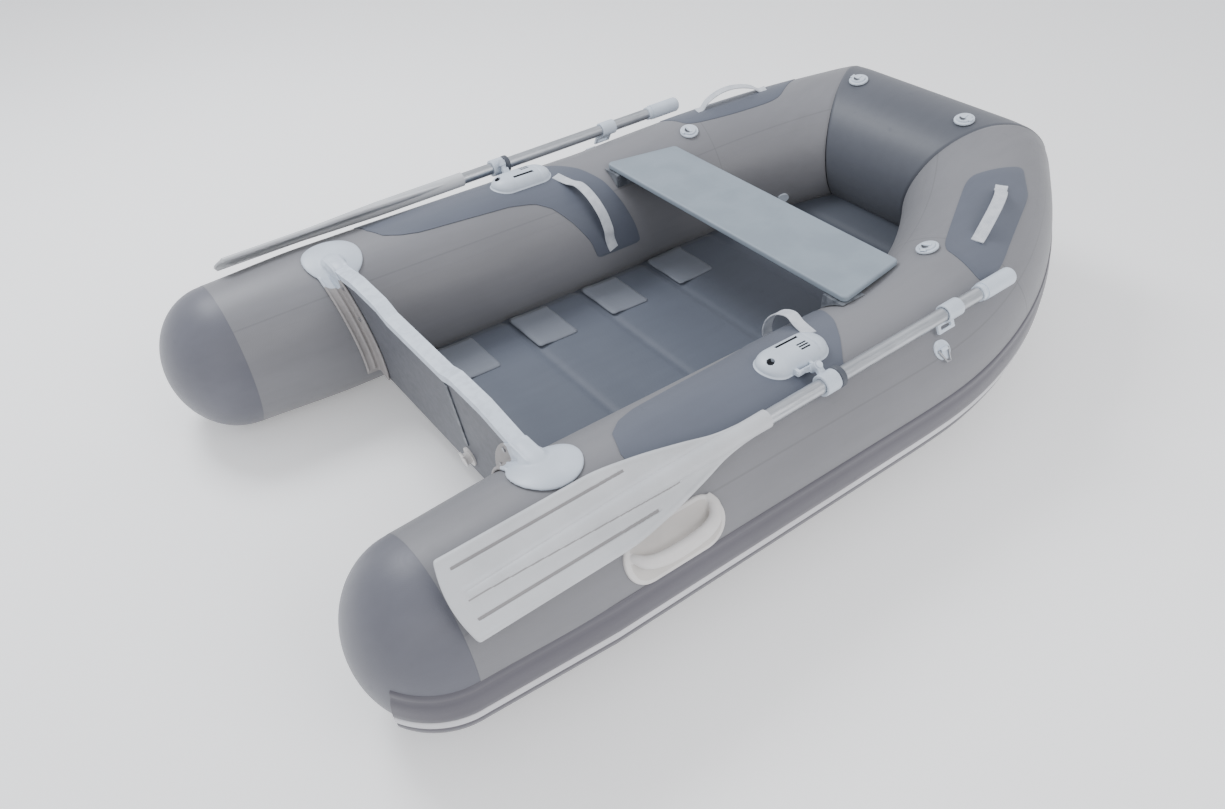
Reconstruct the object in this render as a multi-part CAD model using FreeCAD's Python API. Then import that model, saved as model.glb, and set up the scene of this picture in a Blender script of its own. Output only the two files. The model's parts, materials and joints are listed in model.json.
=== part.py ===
import FreeCAD, Part
import math
import os

# Roll-up inflatable dinghy with a slatted fabric floor. Millimetres, +X to the bow, +Y to port,
# +Z up. The origin is on the ground, midway along the length, on the centre line.
# Angles round a side tube are in degrees: 0 is outboard, 90 is the top and 180 is inboard.

V = FreeCAD.Vector

# --- driving dimensions of the hull ---------------------------------------------------------
LENGTH = 2000.0
TUBE_R = 170.0
WALL = 2.5
SIDE_Y = 457.0
CONE_LENGTH = 139.0
CONE_R = 158.0
CONE_TIP = 0.02
TAPER_X = -620.0
LIFT_X = 102.0
BEND_X = 199.0
CORNER_X = 528.0
LEG_END = V(777.7, 242.8, 0)
BOW_X = 818.0
BOW_Y = 208.0
BOW_LIFT = 130.5
PANEL_SEAM_X = 470.0
BIG = 3000.0

STERN_X = -LENGTH / 2
SEAM_X = STERN_X + CONE_LENGTH
AXIS_Z = TUBE_R
BOW_Z = AXIS_Z + BOW_LIFT

# --- rub strake: (angle, stand-off) of its outer face, and its stand-off from the fabric -------
STRAKE_GAP = 2.2
STRAKE_ANGLES = (10.0, -3.0, -16.0, -29.0, -42.0)
STRAKE_OUT = (4.0, 12.0, 12.0, 11.5, 4.5)
INSERT_ANGLES = (-22.0, -28.0)
STRAKE_STERN_TURN = 52.0

# --- floor ------------------------------------------------------------------------------------
FLOOR_Z = 67.0
FLOOR_THICK = 3.0
FLOOR_GAP = 4.0
FLOOR_EDGE = 3.0
FLOOR_RISE = 106.0
FLOOR_RISE_END = 690.0
FLOOR_AFT_X = -578.0
FLOOR_FWD_X = 680.0
SLAT_PITCH = 216.5
SLAT_FIRST_X = -470.0
SLAT_GAP = 7.0
SLAT_THICK = 9.0
SLAT_HALF = 300.0
SLAT_COUNT = 5
FLAP_LENGTH = 110.0
FLAP_Y = (155.0, 298.0)
FLAP_THICK = 2.0

# --- transom ----------------------------------------------------------------------------------
TRANSOM_T = 24.0
TRANSOM_Z0 = 85.0
TRANSOM_X0 = -586.0
TRANSOM_RAKE = math.radians(8.4)
TRANSOM_TOP = ((0, 345), (110, 345), (150, 358), (250, 358), (350, 340), (372, 335))
TRANSOM_GAP = 3.0
CAP_SIDE = 3.0
CAP_TOP = 5.0
CAP_DEPTH = 13.0
CAP_HALF = 352.0
HOLDER_X = (-670.0, -540.0)
HOLDER_ANGLE = 104.0
HOLDER_T = 4.5
SCREWS = ((322.0, 316.0), (288.0, 250.0))
SCREW_R = 2.5
DRAIN = (-112.0, 128.0)
DRAIN_R = 12.5
DRAIN_BORE = 9.0

# --- bench ------------------------------------------------------------------------------------
SEAT_X = (130.0, 330.0)
SEAT_HALF = (398.0, 366.0)
SEAT_Z = 333.0
SEAT_T = 15.0

# --- oar and rowlock --------------------------------------------------------------------------
SHAFT_R = 14.0
SHAFT_WALL = 1.4
RUNNING = 0.08
SNUG = 0.05
COLLAR_X = -95.0
OAR_POINT = V(-200.0, 559.0, 342.0)
OAR_DIR = V(1.0, -0.006, 0.0246).normalize()
BLADE_TILT = math.radians(35.0)
SWING_TILT = math.radians(35.0)
BLADE_HALF = 67.0
BLADE_T = 7.0
PORT_SHIFT = 50.0
PIVOT_Y = 530.0
PIN_R = 4.0
DIP_Y = 507.0
DIP_Z = 342.5
DIP_PIN_R = 3.0
BASE_X = (-165.0, -7.0)
BASE_Y = (424.0, 498.0)
BASE_TOP = 361.0
EAR_X = 15.0
EAR_T = 7.0
EAR_R = 5.6
BLADE_END = -762.0
BLADE_SHOULDER = -500.0
BLADE_SOCKET = -151.0
SHAFT_START = -375.0
GRIP = (431.0, 536.0)
GRIP_R = 19.0
CLIP = (322.0, 366.0)
STOP_RING = (18.5, 31.5)
STOP_RING_R = 21.0

# --- handles and rings --------------------------------------------------------------------------
INNER_HANDLE = ((4, 107, 4.5), (10, 113, 9), (18, 121, 24), (26, 133, 30),
                (35, 146, 30), (43, 158, 24), (51, 166, 9), (57, 172, 4.5))
BOW_PATCH = ((419, 516), (439, 401), (651, 285), (763, 348), (705, 400), (495, 509))
BOW_HANDLE_X = (490.0, 656.0)
BOW_HANDLE_ANGLE = 80.0
BOW_HANDLE_RISE = 27.0
LIFT_HANDLE_X = (-585.0, -379.0)
LIFT_PAD_ANGLE = 26.0
LIFT_GRIP_ANGLE = 20.0
LIFT_GRIP_R = 8.5
LIFT_GRIP_RISE = 26.0
RING_X = 216.0
RING_BAR_A = 43.0
RING_WIRE = 2.0
RING_RISE = 4.8

# --- valves: (position along the hull, angle round the tube) ----------------------------------
VALVE_FLANGE_R = 24.0
VALVE_BARREL_R = 16.0
VALVE_BORE_R = 11.5
VALVE_STEM_R = 2.5
VALVE_DEPTH = 26.0
VALVE_HINGE_R = 20.0
SIDE_VALVE_X = 432.0
SIDE_VALVE_ANGLE = 107.0
BOW_VALVE_Y = 164.0
BOW_VALVE_ANGLE = 104.0


def cosd(angle):
    return math.cos(math.radians(angle))


def sind(angle):
    return math.sin(math.radians(angle))


# --- the tube's centre line, port side ---------------------------------------------------------
def centre(x):
    """Point of the port tube's centre line at x, up to the bow corner."""
    y = SIDE_Y
    if x > LEG_END.x:
        part = (x - LEG_END.x) / (BOW_X - LEG_END.x)
        y = LEG_END.y + (BOW_Y - LEG_END.y) * part
    elif x > BEND_X:
        first = CORNER_X - BEND_X
        second = BEND_X - 2 * CORNER_X + LEG_END.x
        t = (-first + math.sqrt(first ** 2 + second * (x - BEND_X))) / second
        y = SIDE_Y - t * t * (SIDE_Y - LEG_END.y)
    lift = max(0.0, (x - LIFT_X) / (BOW_X - LIFT_X))
    return V(x, y, AXIS_Z + BOW_LIFT * lift ** 2)


def frame(x):
    """Centre, tangent, outboard and upward unit vectors of the port tube at x."""
    step = 0.5
    high = min(x + step, BOW_X)
    tangent = (centre(high) - centre(high - 2 * step)).normalize()
    outboard = V(-tangent.y, tangent.x, 0).normalize()
    return centre(x), tangent, outboard, tangent.cross(outboard)


def skin(x, angle, out=0.0):
    """Point of the port tube at x and an angle round it, out from its surface."""
    c, _, o, w = frame(x)
    return c + (o * cosd(angle) + w * sind(angle)) * (TUBE_R + out)


def normal(x, angle):
    _, _, o, w = frame(x)
    return o * cosd(angle) + w * sind(angle)


def starboard(shape):
    return shape.mirror(V(0, 0, 0), V(0, 1, 0))


def save(name, *shapes):
    """Write one node; several shapes become a group of separate solids."""
    solids = [solid for shape in shapes for solid in shape.Solids]
    for solid in solids:
        if not solid.isValid() or solid.Volume <= 0:
            raise RuntimeError(name + " is not a valid solid")
    whole = solids[0] if len(solids) == 1 else Part.makeCompound(solids)
    whole.exportStep("parts/" + name + ".step")
    print(name, len(solids), round(whole.Volume / 1000.0, 2), "cm3")


def polygon(points):
    return Part.Face(Part.makePolygon(list(points) + [points[0]]))


def prism(points, direction):
    return polygon(points).extrude(direction)


def rod(start, end, radius):
    run = end - start
    return Part.makeCylinder(radius, run.Length, start, run)


def pipe(start, end, outer, inner):
    run = (end - start).normalize()
    return rod(start, end, outer).cut(rod(start - run, end + run, inner))


def keep(shape, point, direction):
    """The part of a shape that lies on one side of a plane."""
    box = Part.makeBox(BIG, BIG, BIG, V(-BIG / 2, -BIG / 2, 0))
    box.Placement = FreeCAD.Placement(point, FreeCAD.Rotation(V(0, 0, 1), direction))
    return shape.common(box)


# --- air tubes ---------------------------------------------------------------------------------
def section(x, radius):
    c, t, o, w = frame(x)
    ring = Part.makeCircle(radius)
    ring.Placement = FreeCAD.Placement(c, FreeCAD.Rotation(o, w, t, "ZXY"))
    return Part.Wire([ring])


def bend_loft(radius, overrun=0.0):
    """Round bar along the raised, curved bow quarter, run on past the bow corner."""
    stations = [LIFT_X, BEND_X, 290.0, 380.0, 470.0, 560.0, 640.0, 710.0, 745.0, LEG_END.x, 798.0, BOW_X]
    rings = [section(x, radius) for x in stations]
    if overrun:
        rings.insert(0, section(LIFT_X - overrun, radius))
    for reach in (0.15, 0.4, 0.7, 1.0):
        end = section(BOW_X, radius)
        end.translate(frame(BOW_X)[1] * (TUBE_R * reach))
        rings.append(end)
    return Part.makeLoft(rings, True, False)


def mitre():
    """Point and direction, towards the centre line, of the port bow corner's plane."""
    turn = frame(BOW_X)[1] + V(0, -1, 0)
    return centre(BOW_X), turn.normalize()


def side_tube():
    def outline(radius_drop):
        return [(SEAM_X, CONE_R - radius_drop), (TAPER_X, TUBE_R - radius_drop), (LIFT_X, TUBE_R - radius_drop)]

    points = outline(0) + outline(WALL)[::-1]
    face = polygon([V(x, SIDE_Y, AXIS_Z + r) for x, r in points])
    return face.revolve(V(0, SIDE_Y, AXIS_Z), V(1, 0, 0), 360)


def stern_cone():
    """Oblate cap on the stern end, with a small flat at its tip."""
    sweep = math.pi / 2 - CONE_TIP

    def arc(drop):
        middle = V(SEAM_X, SIDE_Y, AXIS_Z)
        wide = middle + V(0, 0, CONE_R - drop)
        curve = Part.Ellipse(wide, middle - V(CONE_LENGTH - drop, 0, 0), middle)
        tip = curve.value(sweep)
        return curve.toShape(0, sweep), wide, tip, V(tip.x, SIDE_Y, AXIS_Z)

    outer, outer_wide, outer_tip, outer_pole = arc(0)
    inner, inner_wide, inner_tip, inner_pole = arc(WALL)
    edges = [outer, Part.makeLine(outer_tip, outer_pole), Part.makeLine(outer_pole, inner_pole),
             Part.makeLine(inner_pole, inner_tip), inner, Part.makeLine(inner_wide, outer_wide)]
    face = Part.Face(Part.Wire(Part.__sortEdges__(edges)))
    return face.revolve(V(0, SIDE_Y, AXIS_Z), V(1, 0, 0), 360)


def bow_panels():
    """Aft and forward fabric panels of the port bow quarter."""
    point, towards = mitre()
    whole = keep(bend_loft(TUBE_R), point, towards * -1)
    whole = whole.cut(bend_loft(TUBE_R - WALL, 5.0))
    seam, along, _, _ = frame(PANEL_SEAM_X)
    return keep(whole, seam, along * -1), keep(whole, seam, along)


def bow_tube():
    """Cross tube between the two mitred corners, closed by its own end walls."""
    point, towards = mitre()

    def bar(radius, inset):
        start = V(BOW_X, -2 * BOW_Y, BOW_Z)
        shape = rod(start, start + V(0, 4 * BOW_Y, 0), radius)
        port_point = point + towards * inset
        shape = keep(shape, port_point, towards)
        return keep(shape, V(port_point.x, -port_point.y, port_point.z), V(towards.x, -towards.y, towards.z))

    return bar(TUBE_R, 0).cut(bar(TUBE_R - WALL, WALL))


# --- rub strake --------------------------------------------------------------------------------
def strake_station_makers():
    """Functions of angle and stand-off, one per station from the stern cone to the bow's middle."""
    makers = []

    def cone(turn):
        middle = V(SEAM_X, SIDE_Y, AXIS_Z)
        reach = 1 / math.hypot(sind(turn) / CONE_LENGTH, cosd(turn) / CONE_R)
        out = V(-sind(turn), cosd(turn), 0)
        return lambda a, s: middle + out * ((reach + s) * cosd(a)) + V(0, 0, (CONE_R + s) * sind(a))

    turns = 5
    for i in range(turns + 1):
        makers.append(cone(STRAKE_STERN_TURN * (1 - i / turns)))
    makers.append(lambda a, s: skin(TAPER_X, a, s))
    stations = [LIFT_X, BEND_X]
    steps = 10
    stations += [BEND_X + (LEG_END.x - BEND_X) * (i + 1) / steps for i in range(steps)]
    stations.append(BOW_X - 1.0)
    for x in stations:
        makers.append(lambda a, s, x=x: skin(x, a, s))
    point, towards = mitre()

    def bow(y=None):
        def place(a, s):
            dx = (TUBE_R + s) * cosd(a)
            dz = (TUBE_R + s) * sind(a)
            at = BOW_Y - (towards.x * dx + towards.z * dz) / towards.y if y is None else y
            return V(BOW_X + dx, at, BOW_Z + dz)
        return place

    makers.append(bow())
    makers.append(bow(0.2))
    return makers


def strake_strip(angles, outer, inner):
    """Strip along one side of the hull, with a stand-off for each angle, outside and inside."""
    rings = []
    for place in strake_station_makers():
        points = [place(a, s) for a, s in zip(angles, outer)]
        points += [place(a, s) for a, s in reversed(list(zip(angles, inner)))]
        rings.append(Part.makePolygon(points + [points[0]]))
    return Part.makeLoft(rings, True, True)


def rub_strake():
    return strake_strip(STRAKE_ANGLES, STRAKE_OUT, [STRAKE_GAP] * len(STRAKE_ANGLES))


def strake_insert():
    top = STRAKE_OUT[2]
    return strake_strip(INSERT_ANGLES, [top + 2.0] * 2, [top + 0.3] * 2)


# --- floor -------------------------------------------------------------------------------------
def floor_z(x):
    part = max(0.0, (x - LIFT_X) / (FLOOR_RISE_END - LIFT_X))
    return FLOOR_Z + FLOOR_RISE * part ** 2


def floor_half(x):
    """Half width of the floor at x: where a sheet at its height meets the tube's inner side."""
    height = floor_z(x)
    steps = 200
    inner = SIDE_Y - math.sqrt((TUBE_R + FLOOR_GAP) ** 2 - (AXIS_Z - height) ** 2)
    for i in range(steps):
        c, _, o, _ = frame(LIFT_X + (BOW_X - LIFT_X) * i / steps)
        reach = math.sqrt(max(0.0, (TUBE_R + FLOOR_GAP) ** 2 - (c.z - height) ** 2))
        if (c - o * reach).x > x:
            break
        inner = (c - o * reach).y
    return inner


def floor_fabric():
    count = 8
    stations = [FLOOR_AFT_X, LIFT_X]
    stations += [LIFT_X + (FLOOR_FWD_X - LIFT_X) * (i + 1) / count for i in range(count)]
    rings = []
    for x in stations:
        half = floor_half(x) - FLOOR_EDGE
        low = floor_z(x)
        high = low + FLOOR_THICK
        corners = [V(x, -half, low), V(x, half, low), V(x, half, high), V(x, -half, high)]
        rings.append(Part.makePolygon(corners + [corners[0]]))
    return Part.makeLoft(rings, True, True)


def floor_slab(x0, x1, y0, y1, clear, thick):
    """Flat board resting on the floor between two stations."""
    low0 = floor_z(x0) + FLOOR_THICK + clear
    low1 = floor_z(x1) + FLOOR_THICK + clear
    face = [V(x0, y0, low0), V(x1, y0, low1), V(x1, y0, low1 + thick), V(x0, y0, low0 + thick)]
    return prism(face, V(0, y1 - y0, 0))


def slat_span(index):
    start = SLAT_FIRST_X + SLAT_PITCH * index
    return start, start + SLAT_PITCH - SLAT_GAP


def floor_slats():
    first = floor_slab(FLOOR_AFT_X + 4, SLAT_FIRST_X - SLAT_GAP, -SLAT_HALF, SLAT_HALF, 0.5, SLAT_THICK)
    slats = [first]
    for i in range(SLAT_COUNT):
        x0, x1 = slat_span(i)
        half = min(SLAT_HALF, floor_half(x1) - 14.0)
        slats.append(floor_slab(x0, x1, -half, half, 0.5 + sag(x0, x1), SLAT_THICK))
    return slats


def sag(x0, x1):
    """How far a straight board dips under the curved floor."""
    middle = (floor_z(x0) + floor_z(x1)) / 2 - floor_z((x0 + x1) / 2)
    return -min(0.0, middle)


def slat_flaps():
    flaps = []
    for i in range(4):
        x0 = slat_span(i)[0] + 1.0
        clear = 0.5 + SLAT_THICK + 0.4
        lift = 1.6 * max(0, i - 1)
        flaps.append(floor_slab(x0, x0 + FLAP_LENGTH, FLAP_Y[0], FLAP_Y[1], clear + lift, FLAP_THICK))
    return flaps


# --- transom -----------------------------------------------------------------------------------
def transom_x(z):
    """x of the transom's aft face at a height."""
    return TRANSOM_X0 - (z - TRANSOM_Z0) * math.tan(TRANSOM_RAKE)


TRANSOM_N = V(math.cos(TRANSOM_RAKE), 0, math.sin(TRANSOM_RAKE))
TRANSOM_UP = V(-math.sin(TRANSOM_RAKE), 0, math.cos(TRANSOM_RAKE))


def on_transom(y, z, out=0.0):
    """Point of the aft face, out from it towards the stern."""
    return V(transom_x(z), y, z) - TRANSOM_N * out


def tube_bar(gap, x0=-700.0, x1=-500.0):
    return rod(V(x0, SIDE_Y, AXIS_Z), V(x1, SIDE_Y, AXIS_Z), TUBE_R + gap)


def top_line(rise):
    right = [(y, z + rise) for y, z in TRANSOM_TOP]
    left = [(-y, z) for y, z in reversed(right[1:])]
    return left + right


def transom_board():
    top = [on_transom(y, z) for y, z in top_line(0)]
    half = TRANSOM_TOP[-1][0]
    outline = top + [on_transom(half, TRANSOM_Z0), on_transom(-half, TRANSOM_Z0)]
    board = prism(outline, TRANSOM_N * TRANSOM_T)
    board = board.cut(tube_bar(TRANSOM_GAP)).cut(starboard(tube_bar(TRANSOM_GAP)))
    drain = on_transom(*DRAIN)
    board = board.cut(rod(drain - TRANSOM_N * 20, drain + TRANSOM_N * 60, DRAIN_R + SNUG))
    return max(board.Solids, key=lambda s: s.Volume)


def transom_cap(board):
    high = top_line(CAP_TOP)
    low = top_line(-CAP_DEPTH)
    points = [on_transom(y, z, CAP_SIDE) for y, z in high]
    points += [on_transom(y, z, CAP_SIDE) for y, z in reversed(low)]
    band = prism(points, TRANSOM_N * (TRANSOM_T + 2 * CAP_SIDE))
    band = band.common(Part.makeBox(400, 2 * CAP_HALF, 400, V(-800, -CAP_HALF, 0)))
    return band.cut(board).cut(tube_bar(9.0)).cut(starboard(tube_bar(9.0)))


def holder_pad():
    """Oval pad that follows the tube's top, inboard of its crown."""
    middle = V((HOLDER_X[0] + HOLDER_X[1]) / 2, SIDE_Y, AXIS_Z)
    up = V(0, cosd(HOLDER_ANGLE), sind(HOLDER_ANGLE))
    half = (HOLDER_X[1] - HOLDER_X[0]) / 2
    plug = rod(middle + up * 120, middle + up * 200, half)
    shell = tube_bar(1.0 + HOLDER_T).cut(tube_bar(1.0, -710.0, -490.0))
    return plug.common(shell)


def holder_wedge(radius, a0, a1):
    """Sector of a thick disc round the tube's axis, wide enough to span the transom."""
    points = [V(-700, SIDE_Y, AXIS_Z)]
    steps = 8
    for i in range(steps + 1):
        a = a0 + (a1 - a0) * i / steps
        points.append(V(-700, SIDE_Y + 2 * radius * cosd(a), AXIS_Z + 2 * radius * sind(a)))
    return prism(points, V(200, 0, 0)).common(tube_bar(radius - TUBE_R))


def transom_slab(out, thick):
    """Plate parallel to the transom, its aft side out from the aft face."""
    corners = [on_transom(y, z, out) for y, z in ((0, 0), (600, 0), (600, 450), (0, 450))]
    return prism(corners, TRANSOM_N * thick)


def transom_holder(board, cap):
    """Moulded bracket that holds the port end of the transom and is bonded to the tube."""
    flange = holder_wedge(TUBE_R + 40.0, 106, 205)
    aft = flange.common(transom_slab(6.0, 5.7))
    forward = flange.common(transom_slab(-TRANSOM_T - 0.3, 5.7))
    foot = holder_wedge(TUBE_R + 1.0 + HOLDER_T, 106, 205).common(transom_slab(36.0, TRANSOM_T + 60.0))
    body = aft.fuse(forward).fuse(foot).fuse(holder_pad())
    for out in (2.0, 18.0):
        rib = holder_wedge(TUBE_R + 9.0, 118, 200).common(transom_slab(36.0 - out, 3.5))
        body = body.fuse(rib)
    body = body.cut(tube_bar(1.0)).cut(board).cut(cap)
    for hole in SCREWS:
        point = on_transom(hole[0], hole[1], 20.0)
        body = body.cut(rod(point, point + TRANSOM_N * 80, SCREW_R + SNUG))
    return max(body.removeSplitter().Solids, key=lambda s: s.Volume)


def transom_screws():
    """Four screws through the holders' aft flanges, each a head on a short shank."""
    screws = []
    for y, z in SCREWS:
        start = on_transom(y, z, 8.4)
        head = rod(start, start + TRANSOM_N * 2.3, 5.0)
        shank = rod(start + TRANSOM_N, start + TRANSOM_N * 8.1, SCREW_R)
        screws.append(head.fuse(shank))
    return screws + [starboard(s) for s in screws]


def transom_strip():
    """Dark strip let down the starboard half of the aft face."""
    corners = [on_transom(y, z, 0.2) for y, z in ((-125, 168), (-113, 168), (-113, 328), (-125, 328))]
    return prism(corners, TRANSOM_N * -2.6)


def drain_body():
    start = on_transom(DRAIN[0], DRAIN[1], 14.0)
    flange = rod(on_transom(*DRAIN, 4.2), on_transom(*DRAIN, 0.2), 21.0)
    body = flange.fuse(rod(start, start + TRANSOM_N * (14.0 + TRANSOM_T), DRAIN_R))
    return body.cut(rod(start - TRANSOM_N * 20, start + TRANSOM_N * 80, DRAIN_BORE))


def drain_flap():
    """Round flap that covers the drain's outlet, hung from its top edge."""
    start = on_transom(DRAIN[0], DRAIN[1], 14.5)
    flap = rod(start, start - TRANSOM_N * 3.0, 14.0)
    lug = rod(drain_hinge() - V(0, 8, 0), drain_hinge() + V(0, 8, 0), 2.5)
    return flap.fuse(lug)


def drain_hinge():
    return on_transom(DRAIN[0], DRAIN[1], 17.2) + TRANSOM_UP * 14.5


# --- bench -------------------------------------------------------------------------------------
def seat_board():
    x0, x1 = SEAT_X
    aft, fwd = SEAT_HALF
    outline = [V(x0, -aft, SEAT_Z), V(x0, aft, SEAT_Z), V(x1, fwd, SEAT_Z), V(x1, -fwd, SEAT_Z)]
    board = prism(outline, V(0, 0, SEAT_T))
    uprights = [e for e in board.Edges if abs(e.Vertexes[0].Z - e.Vertexes[1].Z) > 1]
    board = board.makeFillet(12.0, uprights)
    level = [e for e in board.Edges if abs(e.BoundBox.ZLength) < 1e-6]
    return board.makeFillet(5.0, level)


def seat_bracket():
    """Wedge pad on the tube's shoulder that carries the bench's aft corner."""
    block = Part.makeBox(66.0, 56.0, 60.0, V(124.0, 344.0, SEAT_Z - 60.4))
    return block.cut(rod(V(0, SIDE_Y, AXIS_Z + 2), V(300, SIDE_Y, AXIS_Z + 2), TUBE_R + 1.0))


# --- patches and handles -----------------------------------------------------------------------
def side_patch(x0, x1, a0, a1, low=0.6, high=1.9):
    """Thin patch on the straight part of the port tube."""
    corners = []
    for x, out in ((x0, low), (x1, low), (x1, high), (x0, high)):
        corners.append(skin(x, a0, out))
    return polygon(corners).revolve(V(0, SIDE_Y, AXIS_Z), V(1, 0, 0), a1 - a0)


def rowlock_patch():
    main = side_patch(-495.0, 40.0, 55.0, 112.0)
    lobe = side_patch(-20.0, 98.0, 100.0, 182.0)
    return main.fuse(lobe).removeSplitter()


def bow_patch():
    """Six-sided patch on top of the port bow quarter."""
    prism_shape = prism([V(x, y, BOW_Z) for x, y in BOW_PATCH], V(0, 0, 250))
    return prism_shape.common(bend_loft(TUBE_R + 2.0).cut(bend_loft(TUBE_R + 0.6, 5.0)))


def strap(points, side, width, thick):
    """Webbing strap through centre-line points; side is its width direction."""
    side = V(side).normalize()
    rings = []
    for i, point in enumerate(points):
        before = points[max(0, i - 1)]
        after = points[min(len(points) - 1, i + 1)]
        up = side.cross(after - before).normalize()
        across = side * (width / 2)
        lift = up * (thick / 2)
        corners = [point - across - lift, point + across - lift, point + across + lift, point - across + lift]
        rings.append(Part.makePolygon(corners + [corners[0]]))
    return Part.makeLoft(rings, True, True)


def inner_handle():
    return strap([skin(x, a, out) for x, a, out in INNER_HANDLE], V(1, 0, 0), 27.0, 3.0)


def bow_handle():
    count = 9
    points = []
    for i in range(count):
        part = i / (count - 1)
        x = BOW_HANDLE_X[0] + (BOW_HANDLE_X[1] - BOW_HANDLE_X[0]) * part
        out = 6.2 + BOW_HANDLE_RISE * math.sin(math.pi * min(1.0, max(0.0, 1.15 * part - 0.075))) ** 0.6
        points.append(skin(x, BOW_HANDLE_ANGLE, out))
    direction = points[-1] - points[0]
    side = V(-direction.y, direction.x, 0)
    return strap(points, side, 27.0, 3.0)


def stadium(angle, reach):
    """Long rounded plug through the lifting handle's pad, square to the tube's side."""
    middle = skin(sum(LIFT_HANDLE_X) / 2, angle)
    out = normal(LIFT_HANDLE_X[0], angle)
    across = V(0, -out.z, out.y)
    half = (LIFT_HANDLE_X[1] - LIFT_HANDLE_X[0]) / 2
    ends = [middle + V(side * (half - reach), 0, 0) - out * 60 for side in (-1, 1)]
    plug = rod(ends[0], ends[0] + out * 100, reach).fuse(rod(ends[1], ends[1] + out * 100, reach))
    low, high = across * -reach, across * reach
    return plug.fuse(prism([ends[0] + high, ends[0] + low, ends[1] + low, ends[1] + high], out * 100))


def lifting_handle():
    """Moulded handle on the tube's outer side: a pad with a raised grip along its lower half."""
    x0, x1 = LIFT_HANDLE_X[0] - 15, LIFT_HANDLE_X[1] + 15
    shell = tube_bar(6.0, x0, x1).cut(tube_bar(1.0, x0 - 10, x1 + 10))
    pad = stadium(LIFT_PAD_ANGLE, 46.0).common(shell)
    middle = skin(sum(LIFT_HANDLE_X) / 2, LIFT_GRIP_ANGLE)
    out = normal(LIFT_HANDLE_X[0], LIFT_GRIP_ANGLE)
    top = [middle + V(x, 0, 0) + out * LIFT_GRIP_RISE for x in (-52, 52)]
    feet = [middle + V(x, 0, 0) + out * 3.5 for x in (-75, 75)]
    grip = rod(top[0], top[1], LIFT_GRIP_R)
    for a, b in zip(feet, top):
        grip = grip.fuse(rod(a, b, LIFT_GRIP_R)).fuse(Part.makeSphere(LIFT_GRIP_R, b))
    grip = grip.cut(tube_bar(1.0, x0, x1))
    return pad.fuse(grip).removeSplitter()


# --- rings -------------------------------------------------------------------------------------
def ring_patch():
    """Small patch with a raised keeper for the tie ring's bar."""
    base = skin(RING_X, RING_BAR_A, 1.0)
    out = normal(RING_X, RING_BAR_A)
    disc = rod(base - out * 2.5, base + out * 2.2, 20.0)
    keeper = rod(base + out * RING_RISE - V(9, 0, 0), base + out * RING_RISE + V(9, 0, 0), 4.2)
    body = disc.fuse(keeper)
    bar = ring_axis()
    body = body.cut(rod(bar - V(30, 0, 0), bar + V(30, 0, 0), RING_WIRE + RUNNING))
    body = body.cut(bend_loft(TUBE_R + 0.4, 50.0))
    return max(body.Solids, key=lambda s: s.Volume)


def ring_axis():
    out = normal(RING_X, RING_BAR_A)
    return skin(RING_X, RING_BAR_A, 1.0) + out * RING_RISE


def tie_ring():
    """Three-sided wire ring: a bar through the keeper and two legs that meet outboard."""
    middle = ring_axis()
    out = normal(RING_X, RING_BAR_A)
    down = V(0, out.z, -out.y)
    tip = middle + down * 24.0 + out * 1.0
    corners = [middle - V(14, 0, 0), middle + V(14, 0, 0), tip + V(5, 0, 0), tip - V(5, 0, 0)]
    ring = rod(corners[3], corners[0], RING_WIRE)
    for a, b in zip(corners, corners[1:]):
        ring = ring.fuse(rod(a, b, RING_WIRE))
    for point in corners:
        ring = ring.fuse(Part.makeSphere(RING_WIRE, point))
    return ring.removeSplitter()


def bow_tie_patch():
    """Small lashing patch inside the port bow quarter, low down."""
    base = skin(640.0, 200.0, 0.0)
    out = normal(640.0, 200.0)
    return rod(base - out * 2.0, base + out * 4.0, 16.0).cut(bend_loft(TUBE_R + 0.5, 5.0))


# --- rowlock -----------------------------------------------------------------------------------
def oar_axis(x):
    return OAR_POINT + OAR_DIR * ((x - OAR_POINT.x) / OAR_DIR.x)


COLLAR = oar_axis(COLLAR_X)
SWING_N = V(0, math.sin(SWING_TILT), math.cos(SWING_TILT))
PIVOT = V(COLLAR_X, PIVOT_Y, COLLAR.z + (COLLAR.y - PIVOT_Y) * math.tan(SWING_TILT))
DIP_AXIS = V(COLLAR_X, DIP_Y, DIP_Z)


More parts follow.
